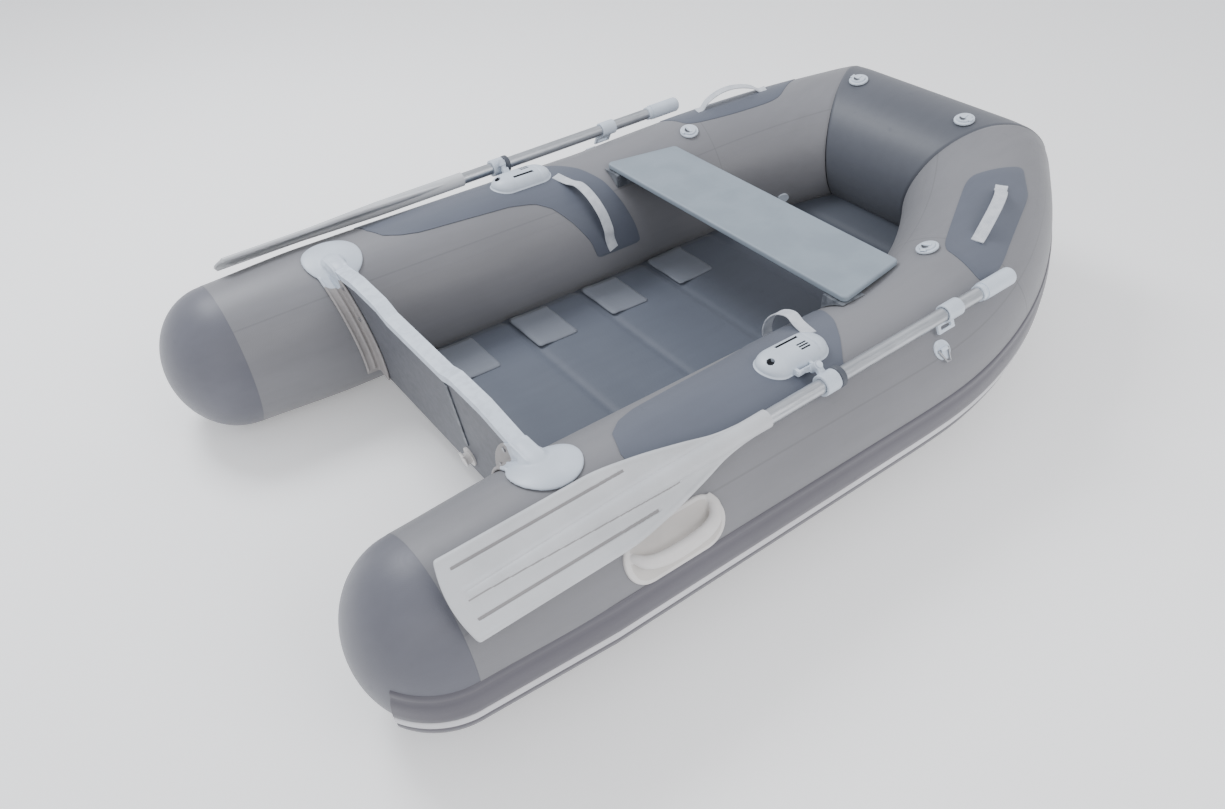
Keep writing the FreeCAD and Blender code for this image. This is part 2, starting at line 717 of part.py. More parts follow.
def rowlock_base():
    """Moulded housing on the tube's top, with two ears for the yoke's pin."""
    x0, x1 = BASE_X
    y0, y1 = BASE_Y
    middle = (y0 + y1) / 2
    radius = (y1 - y0) / 2
    low = AXIS_Z + 120.0
    high = BASE_TOP - low
    body = Part.makeBox(x1 - x0 - 2 * radius, 2 * radius, high, V(x0 + radius, y0, low))
    for x in (x0 + radius, x1 - radius):
        body = body.fuse(Part.makeCylinder(radius, high, V(x, middle, low)))
    body = body.removeSplitter()
    rim = [e for e in body.Edges if abs(e.BoundBox.ZMax - BASE_TOP) < 0.01 and e.BoundBox.ZLength < 0.01]
    body = body.makeFillet(13.0, rim)
    for side in (-1, 1):
        x = COLLAR_X + side * (EAR_X + EAR_T / 2) - EAR_T / 2
        ear = Part.makeBox(EAR_T, DIP_Y - y1 + 12.0, 2 * EAR_R, V(x, y1 - 12.0, DIP_Z - EAR_R))
        ear = ear.fuse(Part.makeCylinder(EAR_R, EAR_T, V(x, DIP_Y, DIP_Z), V(1, 0, 0)))
        body = body.fuse(ear)
    body = body.cut(rod(DIP_AXIS - V(40, 0, 0), DIP_AXIS + V(40, 0, 0), DIP_PIN_R + RUNNING))
    body = body.cut(Part.makeCylinder(6.5, 14.0, V(x0 + 24.0, middle, BASE_TOP - 9.0)))
    body = body.cut(Part.makeBox(44.0, 4.0, 5.0, V(x0 + 62.0, middle - 16.0, BASE_TOP - 2.5)))
    body = body.cut(rod(V(-300, SIDE_Y, AXIS_Z), V(100, SIDE_Y, AXIS_Z), TUBE_R + 2.2))
    return max(body.Solids, key=lambda s: s.Volume)


def rowlock_yoke():
    """Rocks on the base's pin and carries the upright pin that the oar swings on."""
    barrel = rod(DIP_AXIS - V(EAR_X - 0.5, 0, 0), DIP_AXIS + V(EAR_X - 0.5, 0, 0), 5.2)
    half_pin = EAR_X + EAR_T + 2
    pin = rod(DIP_AXIS - V(half_pin, 0, 0), DIP_AXIS + V(half_pin, 0, 0), DIP_PIN_R)
    boss_foot = PIVOT - SWING_N * 18
    boss = rod(boss_foot, PIVOT - SWING_N * 7, 6.5)
    start = DIP_AXIS - V(8, 0, 0)
    run = V(0, boss_foot.y - DIP_AXIS.y, boss_foot.z + 4.5 - DIP_AXIS.z)
    side = V(0, -run.z, run.y).normalize() * 4.5
    arm = prism([start - side, start + run - side, start + run + side, start + side], V(16, 0, 0))
    post = rod(PIVOT - SWING_N * 10, PIVOT + SWING_N * 8.5, PIN_R)
    head = rod(PIVOT + SWING_N * 7, PIVOT + SWING_N * 9.5, 6.5)
    body = barrel.fuse([pin, boss, arm, post, head])
    return body.removeSplitter()


def oar_placement():
    """Oar's own frame: x along the shaft from the collar to the grip, z away from the tube."""
    out = V(0, math.sin(BLADE_TILT), math.cos(BLADE_TILT))
    y = out.cross(OAR_DIR).normalize()
    return FreeCAD.Placement(COLLAR, FreeCAD.Rotation(OAR_DIR, y, OAR_DIR.cross(y), "XYZ"))


def oar_collar():
    """Clamp ring that the shaft turns in, with a lug on the yoke's upright pin."""
    ring = rod(COLLAR - OAR_DIR * 17, COLLAR + OAR_DIR * 17, 20.5)
    reach = COLLAR - PIVOT
    across = V(1, 0, 0)
    tongue = [PIVOT - across * 7 - SWING_N * 5, PIVOT + across * 7 - SWING_N * 5,
              PIVOT + across * 7 + SWING_N * 5, PIVOT - across * 7 + SWING_N * 5]
    body = ring.fuse(prism(tongue, reach)).fuse(rod(PIVOT - SWING_N * 6.5, PIVOT + SWING_N * 6.5, 9.0))
    body = body.cut(rod(PIVOT - SWING_N * 30, PIVOT + SWING_N * 30, PIN_R + RUNNING))
    body = body.cut(rod(COLLAR - OAR_DIR * 60, COLLAR + OAR_DIR * 60, SHAFT_R + RUNNING))
    return max(body.removeSplitter().Solids, key=lambda s: s.Volume)


# --- oar, in its own frame ---------------------------------------------------------------------
def blade_outline():
    upper = [V(BLADE_SHOULDER, BLADE_HALF, 0), V(-405, 56, 0), V(-315, 37, 0), V(-255, 21, 0), V(-205, 15, 0)]
    curve = Part.BSplineCurve()
    curve.interpolate(upper)
    lower = Part.BSplineCurve()
    lower.interpolate([V(p.x, -p.y, 0) for p in reversed(upper)])
    round_r = 14.0
    aft = BLADE_END
    a = V(aft + round_r, BLADE_HALF, 0)
    b = V(aft, BLADE_HALF - round_r, 0)
    k = round_r * (1 - math.sqrt(0.5))
    corner = Part.Arc(a, V(aft + k, BLADE_HALF - k, 0), b).toShape()
    corner2 = Part.Arc(V(b.x, -b.y, 0), V(aft + k, k - BLADE_HALF, 0), V(a.x, -a.y, 0)).toShape()
    edges = [curve.toShape(), Part.makeLine(upper[0], a), corner, Part.makeLine(b, V(b.x, -b.y, 0)), corner2,
             Part.makeLine(V(a.x, -a.y, 0), V(upper[0].x, -upper[0].y, 0)), lower.toShape(),
             Part.makeLine(V(upper[-1].x, -upper[-1].y, 0), upper[-1])]
    return Part.Face(Part.Wire(Part.__sortEdges__(edges)))


def oar_blade():
    """Moulded blade with a spine that becomes the shaft's socket, and a groove in each half."""
    plate = blade_outline().extrude(V(0, 0, BLADE_T))
    plate.translate(V(0, 0, -BLADE_T / 2))
    spine_start = V(BLADE_END + 38, 0, 0)
    cone = Part.makeCone(5.0, 17.0, SHAFT_START - 6 - spine_start.x, spine_start, V(1, 0, 0))
    socket = rod(V(SHAFT_START - 6, 0, 0), V(BLADE_SOCKET, 0, 0), 17.0)
    body = plate.fuse([cone, Part.makeSphere(5.0, spine_start), socket]).removeSplitter()
    for y in (-44.0, 38.0):
        for z in (BLADE_T / 2, -BLADE_T / 2):
            groove = Part.makeBox(315, 5, 2.4, V(BLADE_END + 25, y - 2.5, z - 1.2))
            body = body.cut(groove)
    return body.cut(rod(V(SHAFT_START, 0, 0), V(0, 0, 0), SHAFT_R + SNUG))


def oar_shaft():
    return pipe(V(SHAFT_START + 0.2, 0, 0), V(GRIP[1] - 12, 0, 0), SHAFT_R, SHAFT_R - SHAFT_WALL)


def oar_grip():
    """Round-ended sleeve with a thinner neck over the shaft."""
    start, end = GRIP
    neck = rod(V(start, 0, 0), V(start + 14, 0, 0), GRIP_R - 2)
    sleeve = rod(V(start + 12, 0, 0), V(end, 0, 0), GRIP_R)
    sleeve = sleeve.makeFillet(9.0, [e for e in sleeve.Edges if e.Closed and e.BoundBox.XMin > end - 1])
    body = neck.fuse(sleeve)
    return body.cut(rod(V(start - 1, 0, 0), V(end - 11.8, 0, 0), SHAFT_R + SNUG))


def oar_stop_ring():
    ring = pipe(V(STOP_RING[0], 0, 0), V(STOP_RING[1], 0, 0), STOP_RING_R, SHAFT_R + SNUG)
    return ring.makeFillet(3.0, [e for e in ring.Edges if e.Closed and e.Curve.Radius > SHAFT_R + 1])


def oar_clip():
    """Band on the shaft with a looped tab that hooks over the side of the tube."""
    start, end = CLIP
    band = rod(V(start, 0, 0), V(end, 0, 0), 18.5)
    outline = [V(start - 14, y, z) for y, z in ((5, -17), (12, -12), (31, -23), (27, -28))]
    tab = prism(outline, V(end - start + 4, 0, 0))
    inside = [V(start - 6, y, z) for y, z in ((14, -26), (19, -12), (25, -16), (22, -30))]
    hole = prism(inside, V(end - start - 14, 0, 0))
    body = band.fuse(tab.cut(hole)).removeSplitter()
    return body.cut(rod(V(start - 30, 0, 0), V(end + 30, 0, 0), SHAFT_R + RUNNING))


def place_oar(shape, shift=0.0):
    moved = shape.copy()
    moved.translate(V(shift, 0, 0))
    moved.Placement = oar_placement().multiply(moved.Placement)
    return moved


# --- valves, in their own frame: z out of the tube, x forward ------------------------------------
def valve_body():
    flange = Part.makeCylinder(VALVE_FLANGE_R, 4.0, V(0, 0, 2.2))
    flange = flange.makeFillet(1.8, [e for e in flange.Edges if e.Closed and e.BoundBox.ZMin > 6.0])
    barrel = Part.makeCylinder(VALVE_BARREL_R, VALVE_DEPTH, V(0, 0, 3.0 - VALVE_DEPTH))
    bore = Part.makeCylinder(VALVE_BORE_R, 2 * VALVE_DEPTH, V(0, 0, 6.0 - VALVE_DEPTH))
    seat = Part.makeCylinder(VALVE_STEM_R + RUNNING, BIG / 30, V(0, 0, -50))
    return flange.fuse(barrel).removeSplitter().cut(bore).cut(seat)


def valve_cap():
    """Flip-up cap: a lid with a raised finger bar and a plug that fills the bore's mouth."""
    lid = Part.makeCylinder(17.0, 3.5, V(0, 0, 6.5))
    lid = lid.makeFillet(1.5, [e for e in lid.Edges if e.Closed and e.BoundBox.ZMin > 9.0])
    plug = Part.makeCylinder(10.5, 7.0, V(0, 0, 1.0))
    bar = Part.makeBox(6.0, 20.0, 3.0, V(-3.0, -10.0, 9.0))
    knuckle = Part.makeCylinder(2.0, 12.0, V(-VALVE_HINGE_R, -6.0, 8.5), V(0, 1, 0))
    link = Part.makeBox(6.0, 12.0, 2.5, V(-VALVE_HINGE_R, -6.0, 7.2))
    return lid.fuse([plug, bar, knuckle, link]).removeSplitter()


def valve_plunger():
    """Sprung stem with a button, pressed to let the air out."""
    stem = Part.makeCylinder(VALVE_STEM_R, 22.0, V(0, 0, -30.0))
    button = Part.makeCylinder(5.5, 3.0, V(0, 0, -9.0))
    return stem.fuse(button).removeSplitter()


def side_valve_placement():
    out = normal(SIDE_VALVE_X, SIDE_VALVE_ANGLE)
    along = frame(SIDE_VALVE_X)[1]
    across = out.cross(along)
    at = skin(SIDE_VALVE_X, SIDE_VALVE_ANGLE)
    return FreeCAD.Placement(at, FreeCAD.Rotation(along, across, out, "ZXY"))


def bow_valve_placement():
    out = V(cosd(BOW_VALVE_ANGLE), 0, sind(BOW_VALVE_ANGLE))
    along = V(0, -1, 0)
    at = V(BOW_X, BOW_VALVE_Y, BOW_Z) + out * TUBE_R
    return FreeCAD.Placement(at, FreeCAD.Rotation(along, out.cross(along), out, "ZXY"))


def place(shape, placement):
    moved = shape.copy()
    moved.Placement = placement.multiply(moved.Placement)
    return moved


def valve_hole(placement):
    return place(Part.makeCylinder(VALVE_BARREL_R + 0.5, 60.0, V(0, 0, -30.0)), placement)


# --- all nodes -----------------------------------------------------------------------------------
def save_pair(name, shape):
    save("port_" + name, shape)
    save("starboard_" + name, starboard(shape))


def save_hull():
    save_pair("side_tube", side_tube())
    save_pair("stern_cone", stern_cone())
    aft, forward = bow_panels()
    hole = valve_hole(side_valve_placement())
    save_pair("bow_panel_aft", aft.cut(hole))
    save_pair("bow_panel_forward", forward)
    hole = valve_hole(bow_valve_placement())
    save("bow_tube", bow_tube().cut(hole).cut(starboard(hole)))
    save_pair("rub_strake", rub_strake())
    insert = strake_insert()
    save("rub_strake_inserts", insert, starboard(insert))
    save("floor_fabric", floor_fabric())
    save("floor_slats", *floor_slats())
    save("slat_flaps", *slat_flaps())


def save_transom():
    board = transom_board()
    cap = transom_cap(board)
    save("transom_board", board)
    save("transom_cap", cap)
    save_pair("transom_holder", transom_holder(board, cap))
    save("transom_screws", *transom_screws())
    save("transom_strip", transom_strip())
    save("drain_body", drain_body())
    save("drain_flap", drain_flap())


def save_fittings():
    save("seat_board", seat_board())
    bracket = seat_bracket()
    save("seat_brackets", bracket, starboard(bracket))
    patch = rowlock_patch()
    save("rowlock_patches", patch, starboard(patch))
    patch = bow_patch()
    save("bow_handle_patches", patch, starboard(patch))
    save_pair("inner_handle", inner_handle())
    handle = bow_handle()
    save("bow_handles", handle, starboard(handle))
    save_pair("lifting_handle", lifting_handle())
    patch = ring_patch()
    save("tie_patches", patch, starboard(patch), bow_tie_patch())
    save_pair("tie_ring", tie_ring())


def save_oars():
    save_pair("rowlock_base", rowlock_base())
    save_pair("rowlock_yoke", rowlock_yoke())
    save_pair("oar_collar", oar_collar())
    for side, shift, turn in (("port_", PORT_SHIFT, lambda s: s), ("starboard_", 0.0, starboard)):
        save(side + "oar_shaft", turn(place_oar(oar_shaft(), shift)))
        save(side + "oar_blade", turn(place_oar(oar_blade(), shift)))
        save(side + "oar_grip", turn(place_oar(oar_grip(), shift)))
        save(side + "oar_stop_ring", turn(place_oar(oar_stop_ring())))
        save(side + "oar_clip", turn(place_oar(oar_clip())))


def save_valves():
    spots = (("side", side_valve_placement()), ("bow", bow_valve_placement()))
    bodies = []
    for spot, placement in spots:
        body = place(valve_body(), placement)
        bodies += [body, starboard(body)]
        save_pair(spot + "_valve_cap", place(valve_cap(), placement))
        save_pair(spot + "_valve_plunger", place(valve_plunger(), placement))
    save("valve_bodies", *bodies)


os.makedirs("parts", exist_ok=True)
save_hull()
save_transom()
save_fittings()
save_oars()
save_valves()
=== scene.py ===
"""The look of a small inflatable dinghy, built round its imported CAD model.

Metres, +X to the bow, +Y to port, +Z up, origin on the ground at mid length. Angles round an air
tube are in degrees: 0 is outboard, 90 is the top and 180 is inboard.
"""
import json
import math

import bmesh
import bpy
import numpy as np
from mathutils import Matrix, Vector


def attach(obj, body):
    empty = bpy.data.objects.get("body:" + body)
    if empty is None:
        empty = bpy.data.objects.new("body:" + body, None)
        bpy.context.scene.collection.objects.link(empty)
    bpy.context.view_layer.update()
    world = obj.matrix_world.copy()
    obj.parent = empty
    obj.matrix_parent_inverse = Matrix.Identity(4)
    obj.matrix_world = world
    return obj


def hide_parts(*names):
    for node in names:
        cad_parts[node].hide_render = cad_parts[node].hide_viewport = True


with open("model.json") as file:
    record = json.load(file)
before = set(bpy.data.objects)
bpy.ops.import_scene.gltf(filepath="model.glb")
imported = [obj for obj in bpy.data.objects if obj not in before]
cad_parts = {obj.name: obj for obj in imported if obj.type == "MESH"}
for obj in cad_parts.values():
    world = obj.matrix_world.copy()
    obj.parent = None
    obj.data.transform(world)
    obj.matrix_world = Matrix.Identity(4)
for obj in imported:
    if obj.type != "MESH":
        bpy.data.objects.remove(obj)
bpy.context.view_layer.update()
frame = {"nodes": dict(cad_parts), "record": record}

NODES = frame["nodes"]
SLOT_OF = {part["node"]: part["material_slot"] for part in frame["record"]["subparts"]}

# --- the hull's sizes ---
TUBE_R = 0.170
SIDE_Y = 0.457
AXIS_Z = 0.170
STERN_X = -1.0
CONE_LENGTH = 0.139
CONE_R = 0.158
SEAM_X = STERN_X + CONE_LENGTH
TAPER_X = -0.620
LIFT_X = 0.102
BEND_X = 0.199
CORNER_X = 0.528
LEG_X, LEG_Y = 0.7777, 0.2428
BOW_X, BOW_Y = 0.818, 0.208
BOW_LIFT = 0.1305
BOW_Z = AXIS_Z + BOW_LIFT
PANEL_SEAM_X = 0.470
AROUND = 128


def cosd(angle):
    return math.cos(math.radians(angle))


def sind(angle):
    return math.sin(math.radians(angle))


def unit(vector):
    return np.asarray(vector, float) / np.linalg.norm(vector)


# --- the port tube's centre line ---
def centre(x):
    y = SIDE_Y
    if x > LEG_X:
        y = LEG_Y + (BOW_Y - LEG_Y) * (x - LEG_X) / (BOW_X - LEG_X)
    elif x > BEND_X:
        first = CORNER_X - BEND_X
        second = BEND_X - 2 * CORNER_X + LEG_X
        t = (-first + math.sqrt(first ** 2 + second * (x - BEND_X))) / second
        y = SIDE_Y - t * t * (SIDE_Y - LEG_Y)
    lift = max(0.0, (x - LIFT_X) / (BOW_X - LIFT_X))
    return np.array((x, y, AXIS_Z + BOW_LIFT * lift ** 2))


def tube_frame(x):
    """Centre, tangent, outboard and upward directions at x; straight on past the corner."""
    step = 0.0005
    at = min(x, BOW_X - step)
    tangent = unit(centre(at + step) - centre(at - step))
    middle = centre(min(x, BOW_X))
    if x > BOW_X:
        middle = middle + tangent * ((x - BOW_X) / tangent[0])
    outboard = unit((-tangent[1], tangent[0], 0))
    return middle, tangent, outboard, np.cross(tangent, outboard)


def skin(x, angle, out=0.0):
    """The point of the tube's skin at x and an angle, or a little outside it."""
    middle, _, outboard, upward = tube_frame(x)
    return middle + (outboard * cosd(angle) + upward * sind(angle)) * (TUBE_R + out)


# The plane of the mitred bow corner: a point on it and its normal.
CORNER = centre(BOW_X)
TOWARDS = unit(tube_frame(BOW_X)[1] + np.array((0, -1.0, 0)))


def bisected(low, high, rounds, short):
    """The value between low and high at which short(value) turns false."""
    for _ in range(rounds):
        middle = (low + high) / 2
        if short(middle):
            low = middle
        else:
            high = middle
    return low


def mitre_x(angle):
    """Where the line along the tube at an angle meets the plane of the bow corner."""
    return bisected(0.55, 1.0, 30, lambda x: np.dot(skin(x, angle) - CORNER, TOWARDS) <= 0)


# --- mesh helpers ---
def mirrored(points):
    """Points carried over to the starboard side."""
    return np.asarray(points) * (1, -1, 1)


SIDES = (("port", np.asarray), ("starboard", mirrored))


def outward(mesh):
    """Turn the faces of a mesh to point outwards."""
    work = bmesh.new()
    work.from_mesh(mesh)
    bmesh.ops.recalc_face_normals(work, faces=work.faces)
    work.to_mesh(mesh)
    work.free()
    return mesh


def placed(name, data):
    """A new object in the scene."""
    obj = bpy.data.objects.new(name, data)
    bpy.context.scene.collection.objects.link(obj)
    return obj


def piece(name, mesh, material, body="hull", replaces=(), sharp=40, ride=True,
          second=None):
    """Finish a mesh as a piece; second is a material and the faces it goes on.

    Those are a test of face centres, or a flag for each face.
    """
    outward(mesh).shade_smooth()
    mesh.set_sharp_from_angle(angle=math.radians(sharp))
    mesh.materials.clear()
    mesh.materials.append(MATERIALS[material])
    if second:
        other, chosen = second
        mesh.materials.append(MATERIALS[other])
        for face in mesh.polygons:
            inside = chosen(face.center) if callable(chosen) else chosen[face.index]
            face.material_index = int(inside)
    obj = placed(name, mesh)
    if ride:
        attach(obj, body)
        if replaces:
            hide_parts(*replaces)
    return obj


def raw_mesh(name, points, faces, corner_uv=None):
    mesh = bpy.data.meshes.new(name)
    mesh.from_pydata([tuple(p) for p in points], [], faces)
    if corner_uv is not None:
        layer = mesh.uv_layers.new(name="run")
        layer.data.foreach_set("uv", np.asarray(corner_uv, np.float32).ravel())
    return mesh


def grid_mesh(name, points, wrap=False, caps=False, us=None, vs=None):
    """Quads over rows x columns of points; wrap joins the last column to the first."""
    points = np.asarray(points, float)
    rows, cols = points.shape[:2]
    us = np.linspace(0, 1, cols + wrap) if us is None else us
    vs = np.linspace(0, 1, rows) if vs is None else np.asarray(vs, float)
    if vs.ndim == 1:
        vs = np.repeat(vs[:, None], cols, 1)
    faces, uvs = [], []
    for i in range(rows - 1):
        for j in range(cols - 1 + wrap):
            k = (j + 1) % cols
            faces.append((i * cols + j, i * cols + k, (i + 1) * cols + k, (i + 1) * cols + j))
            uvs += [(us[j], vs[i, j]), (us[j + 1], vs[i, k]),
                    (us[j + 1], vs[i + 1, k]), (us[j], vs[i + 1, j])]
    if caps:
        for ring in (range(cols), range((rows - 1) * cols, rows * cols)):
            faces.append(tuple(ring))
            uvs += [(0, 0)] * cols
    return raw_mesh(name, points.reshape(-1, 3), faces, uvs)


def closed_mesh(name, rings):
    """A tube of rings with its two ends filled."""
    return grid_mesh(name, rings, wrap=True, caps=True)


def apply_modifiers(obj):
    """A mesh with the object's modifiers applied; the object is removed."""
    bpy.context.view_layer.update()
    graph = bpy.context.evaluated_depsgraph_get()
    mesh = bpy.data.meshes.new_from_object(obj.evaluated_get(graph))
    bpy.data.objects.remove(obj)
    return mesh


def softened(mesh, voxel, rounds):
    """Voxel remesh and smooth a mesh, which rounds its edges and blends what overlaps."""
    obj = placed("work", mesh)
    remesh = obj.modifiers.new("remesh", "REMESH")
    remesh.mode = "VOXEL"
    remesh.voxel_size = voxel
    smooth = obj.modifiers.new("smooth", "SMOOTH")
    smooth.iterations = rounds
    smooth.factor = 0.5
    return apply_modifiers(obj)


def cut(mesh, cutters):
    """Cut closed meshes out of a mesh."""
    obj = placed("work", outward(mesh))
    tools = [placed("tool", outward(cutter)) for cutter in cutters]
    for tool in tools:
        difference = obj.modifiers.new("cut", "BOOLEAN")
        difference.object = tool
        difference.operation = "DIFFERENCE"
        difference.solver = "EXACT"
    result = apply_modifiers(obj)
    for tool in tools:
        bpy.data.objects.remove(tool)
    return result


def joined(meshes, weld=False):
    """Several meshes as one; weld merges the points they share."""
    work = bmesh.new()
    for mesh in meshes:
        work.from_mesh(mesh)
    if weld:
        bmesh.ops.remove_doubles(work, verts=work.verts, dist=1e-6)
    result = bpy.data.meshes.new("joined")
    work.to_mesh(result)
    work.free()
    return result


def paired(rows, **options):
    """A grid's port and starboard copies as one mesh."""
    return joined([grid_mesh(side, turn(rows), **options) for side, turn in SIDES])


def turned(shape, turn):
    """A copy of a mesh, carried over to a side."""
    mesh = shape.copy()
    points = np.array([v.co for v in shape.vertices])
    mesh.vertices.foreach_set("co", turn(points).ravel())
    return mesh


def rod_mesh(start, end, radius, sides=32):
    along = unit(end - start)
    side = unit(np.cross(along, (0, 0, 1) if abs(along[2]) < 0.9 else (1, 0, 0)))
    up = np.cross(side, along)
    turns = np.arange(sides) * 360 / sides
    rings = [[middle + (side * cosd(a) + up * sind(a)) * radius for a in turns]
             for middle in (start, end)]
    return closed_mesh("rod", rings)


def blob_mesh(middle, axes, sizes, count=28):
    """Ellipsoid about a middle, with its three axes and half lengths."""
    middle, axes = np.asarray(middle, float), [unit(a) for a in axes]
    rings = []
    for tip in np.linspace(-88, 88, count // 2):
        ring = []
        for turn in np.arange(count) * 360 / count:
            parts = (cosd(tip) * cosd(turn), cosd(tip) * sind(turn), sind(tip))
            ring.append(middle + sum(a * (s * p) for a, s, p in zip(axes, sizes, parts)))
        rings.append(ring)
    return closed_mesh("blob", rings)


def curve_points(points, count):
    """Smooth curve (Catmull-Rom) through points, resampled evenly by parameter."""
    points = np.asarray(points, float)
    padded = np.vstack([2 * points[0] - points[1], points, 2 * points[-1] - points[-2]])
    out = []
    for value in np.linspace(0, len(points) - 1, count):
        i = min(int(value), len(points) - 2)
        t = value - i
        a, b, c, d = padded[i:i + 4]
        out.append(0.5 * (2 * b + (c - a) * t + (2 * a - 5 * b + 4 * c - d) * t * t
                          + (3 * b - a - 3 * c + d) * t ** 3))
    return np.array(out)


def swept(path, width_direction, section):
    """Rings of a section (across, up) carried along a path, which may change on the way."""
    rings = []
    last = len(path) - 1
    for i, point in enumerate(path):
        along = unit(path[min(last, i + 1)] - path[max(0, i - 1)])
        direction = width_direction[i] if np.ndim(width_direction) == 2 else width_direction
        across = unit(direction - along * np.dot(direction, along))
        up = np.cross(along, across)
        shape = section(i / last) if callable(section) else section
        rings.append([point + across * a + up * b for a, b in shape])
    return np.array(rings)


def smoothstep(low, high, value):
    t = np.clip((value - low) / (high - low), 0, 1)
    return t * t * (3 - 2 * t)


def clamp(value):
    return min(1.0, max(0.0, value))


def bell(distance, width):
    return math.exp(-(distance / width) ** 2)


def corner_inset(part):
    """How far a round corner stands in, at a part of the way along it, in radii."""
    return 1 - math.sqrt(max(0.0, 1 - (1 - min(1, part)) ** 2))


# --- materials ---
def rgb(red, green, blue):
    """Display values 0-255 as the linear colour that a shader takes."""
    return tuple(((c / 255 + 0.055) / 1.055) ** 2.4 for c in (red, green, blue)) + (1.0,)


class Material:
    """A node material built round one Principled shader."""

    def __init__(self, name, **constants):
        self.material = bpy.data.materials.new(name)
        self.material.use_nodes = True
        self.tree = self.material.node_tree
        self.shader = self.tree.nodes["Principled BSDF"]
        self.place = self.add("TexCoord").outputs["Object"]
        for key, value in constants.items():
            self.shader.inputs[key.replace("_", " ")].default_value = value
        MATERIALS[name] = self.material

    def add(self, kind, inputs=None, **settings):
        node = self.tree.nodes.new("ShaderNode" + kind)
        for key, value in settings.items():
            setattr(node, key, value)
        for key, value in (inputs or {}).items():
            self.feed(node.inputs[key], value)
        return node

    def feed(self, socket, value):
        if isinstance(value, bpy.types.NodeSocket):
            self.tree.links.new(value, socket)
        else:
            socket.default_value = value

    def math(self, operation, a, b=0.0):
        return self.add("Math", {0: a, 1: b}, operation=operation).outputs[0]

    def plus(self, a, b):
        return self.math("ADD", a, b)

    def times(self, a, b):
        return self.math("MULTIPLY", a, b)

    def stretched(self, x, y, z):
        """Object space scaled along each axis."""
        return self.add("Mapping", {"Vector": self.place, "Scale": (x, y, z)}).outputs[0]

    def noise(self, scale, detail=3.0, vector=None):
        inputs = {"Vector": vector or self.place, "Scale": scale, "Detail": detail}
        return self.add("TexNoise", inputs).outputs[0]

    def step(self, value, low, high, to_low=0.0, to_high=1.0):
        inputs = {0: value, 1: low, 2: high, 3: to_low, 4: to_high}
        return self.add("MapRange", inputs, interpolation_type="SMOOTHSTEP").outputs[0]

    def mix(self, share, a, b):
        node = self.add("Mix", data_type="RGBA")
        self.feed(node.inputs[0], share)
        self.feed(node.inputs[6], a)
        self.feed(node.inputs[7], b)
        return node.outputs[2]

    def run(self):
        """The (across, along) pair stored on the mesh."""
        uv = self.add("UVMap", uv_map="run").outputs[0]
        split = self.add("SeparateXYZ", {0: uv})
        return split.outputs[0], split.outputs[1]

    def band(self, value, middle, half, soft):
        """1 within half of the middle, falling to 0 over soft."""
        distance = self.math("ABSOLUTE", self.math("SUBTRACT", value, middle))
        return self.step(distance, half, half + soft, 1.0, 0.0)

    def finish(self, colour, roughness, height=None, distance=0.001, strength=1.0):
        self.feed(self.shader.inputs["Base Color"], colour)
        self.feed(self.shader.inputs["Roughness"], roughness)
        if height is not None:
            inputs = {"Height": height, "Distance": distance, "Strength": strength}
            self.feed(self.shader.inputs["Normal"], self.add("Bump", inputs).outputs[0])
        return self.material


MATERIALS = {}


def shades(colour, low=0.93, high=1.06):
    return tuple(c * low for c in colour[:3]) + (1.0,), tuple(c * high for c in colour[:3]) + (1.0,)


def weave(m, pitch):
    """Height of a plain weave with a thread pitch, over object space."""
    turns = math.pi / pitch
    split = m.add("SeparateXYZ", {0: m.place})
    waves = [m.math("SINE", m.times(split.outputs[i], turns)) for i in range(3)]
    return m.times(m.times(waves[0], waves[1]), waves[2])


def coated_fabric(name, colour, seams=(), rings=(), rough=0.46, pitch=0.0016, bow_painted_shadow=0.0):
    """Coated boat fabric: faint weave, soft mottling, lengthwise streaks, and glued seams.

    Seams are angles round the tube, rings are metres along it, and bow_painted_shadow is the share
    of painted shadow that darkens the bow end.
    """
    m = Material(name, Sheen_Weight=0.12, Sheen_Roughness=0.5)
    m.shader.inputs["Specular IOR Level"].default_value = 0.42
    dark, light = shades(colour)
    cloud = m.noise(2.6, 4.0)
    streak = m.noise(9.0, 3.0, m.stretched(0.7, 5.0, 5.0))
    tone = m.plus(m.times(cloud, 0.75), m.times(streak, 0.25))
    shade = m.mix(m.step(tone, 0.35, 0.65), dark, light)
    grain = m.noise(420.0, 2.0)
    shade = m.mix(m.times(grain, 0.10), shade, dark)
    # Painted shadow: the colour darkens toward the bow, where the floor lies in shade.
    if bow_painted_shadow:
        forward = m.add("SeparateXYZ", {0: m.place}).outputs[0]
        shade = m.mix(m.step(forward, 0.05, 0.62, 0.0, bow_painted_shadow), shade, shades(colour, 0.30)[0])
    height = m.plus(m.times(weave(m, pitch), 0.10), m.times(grain, 0.10))
    ripple = m.noise(14.0, 2.0)
    height = m.plus(height, m.times(ripple, 0.9))
    if seams or rings:
        across, along = m.run()
        # Each line's value, middle, half width, soft edge and width of its glued tape.
        lines = [(across, s / 360.0, 0.0011, 0.0012, 0.026) for s in seams]
        lines += [(along, r, 0.0011, 0.0013, 0.014) for r in rings]
        for value, middle, half, soft, tape in lines:
            line = m.band(value, middle, half, soft)
            shade = m.mix(m.times(line, 0.26), shade, shades(colour, 0.45)[0])
            rise = m.step(m.math("SUBTRACT", value, middle), 0.0, 0.0012)
            fall = m.step(m.math("SUBTRACT", value, middle + tape), 0.0, 0.0012, 1.0, 0.0)
            height = m.plus(height, m.times(m.times(rise, fall), 0.22))
    scuff = m.step(m.noise(38.0, 6.0), 0.62, 0.78)
    roughness = m.plus(m.times(scuff, 0.14), m.times(cloud, 0.10))
    m.finish(shade, m.plus(roughness, rough - 0.05), height, 0.0007)


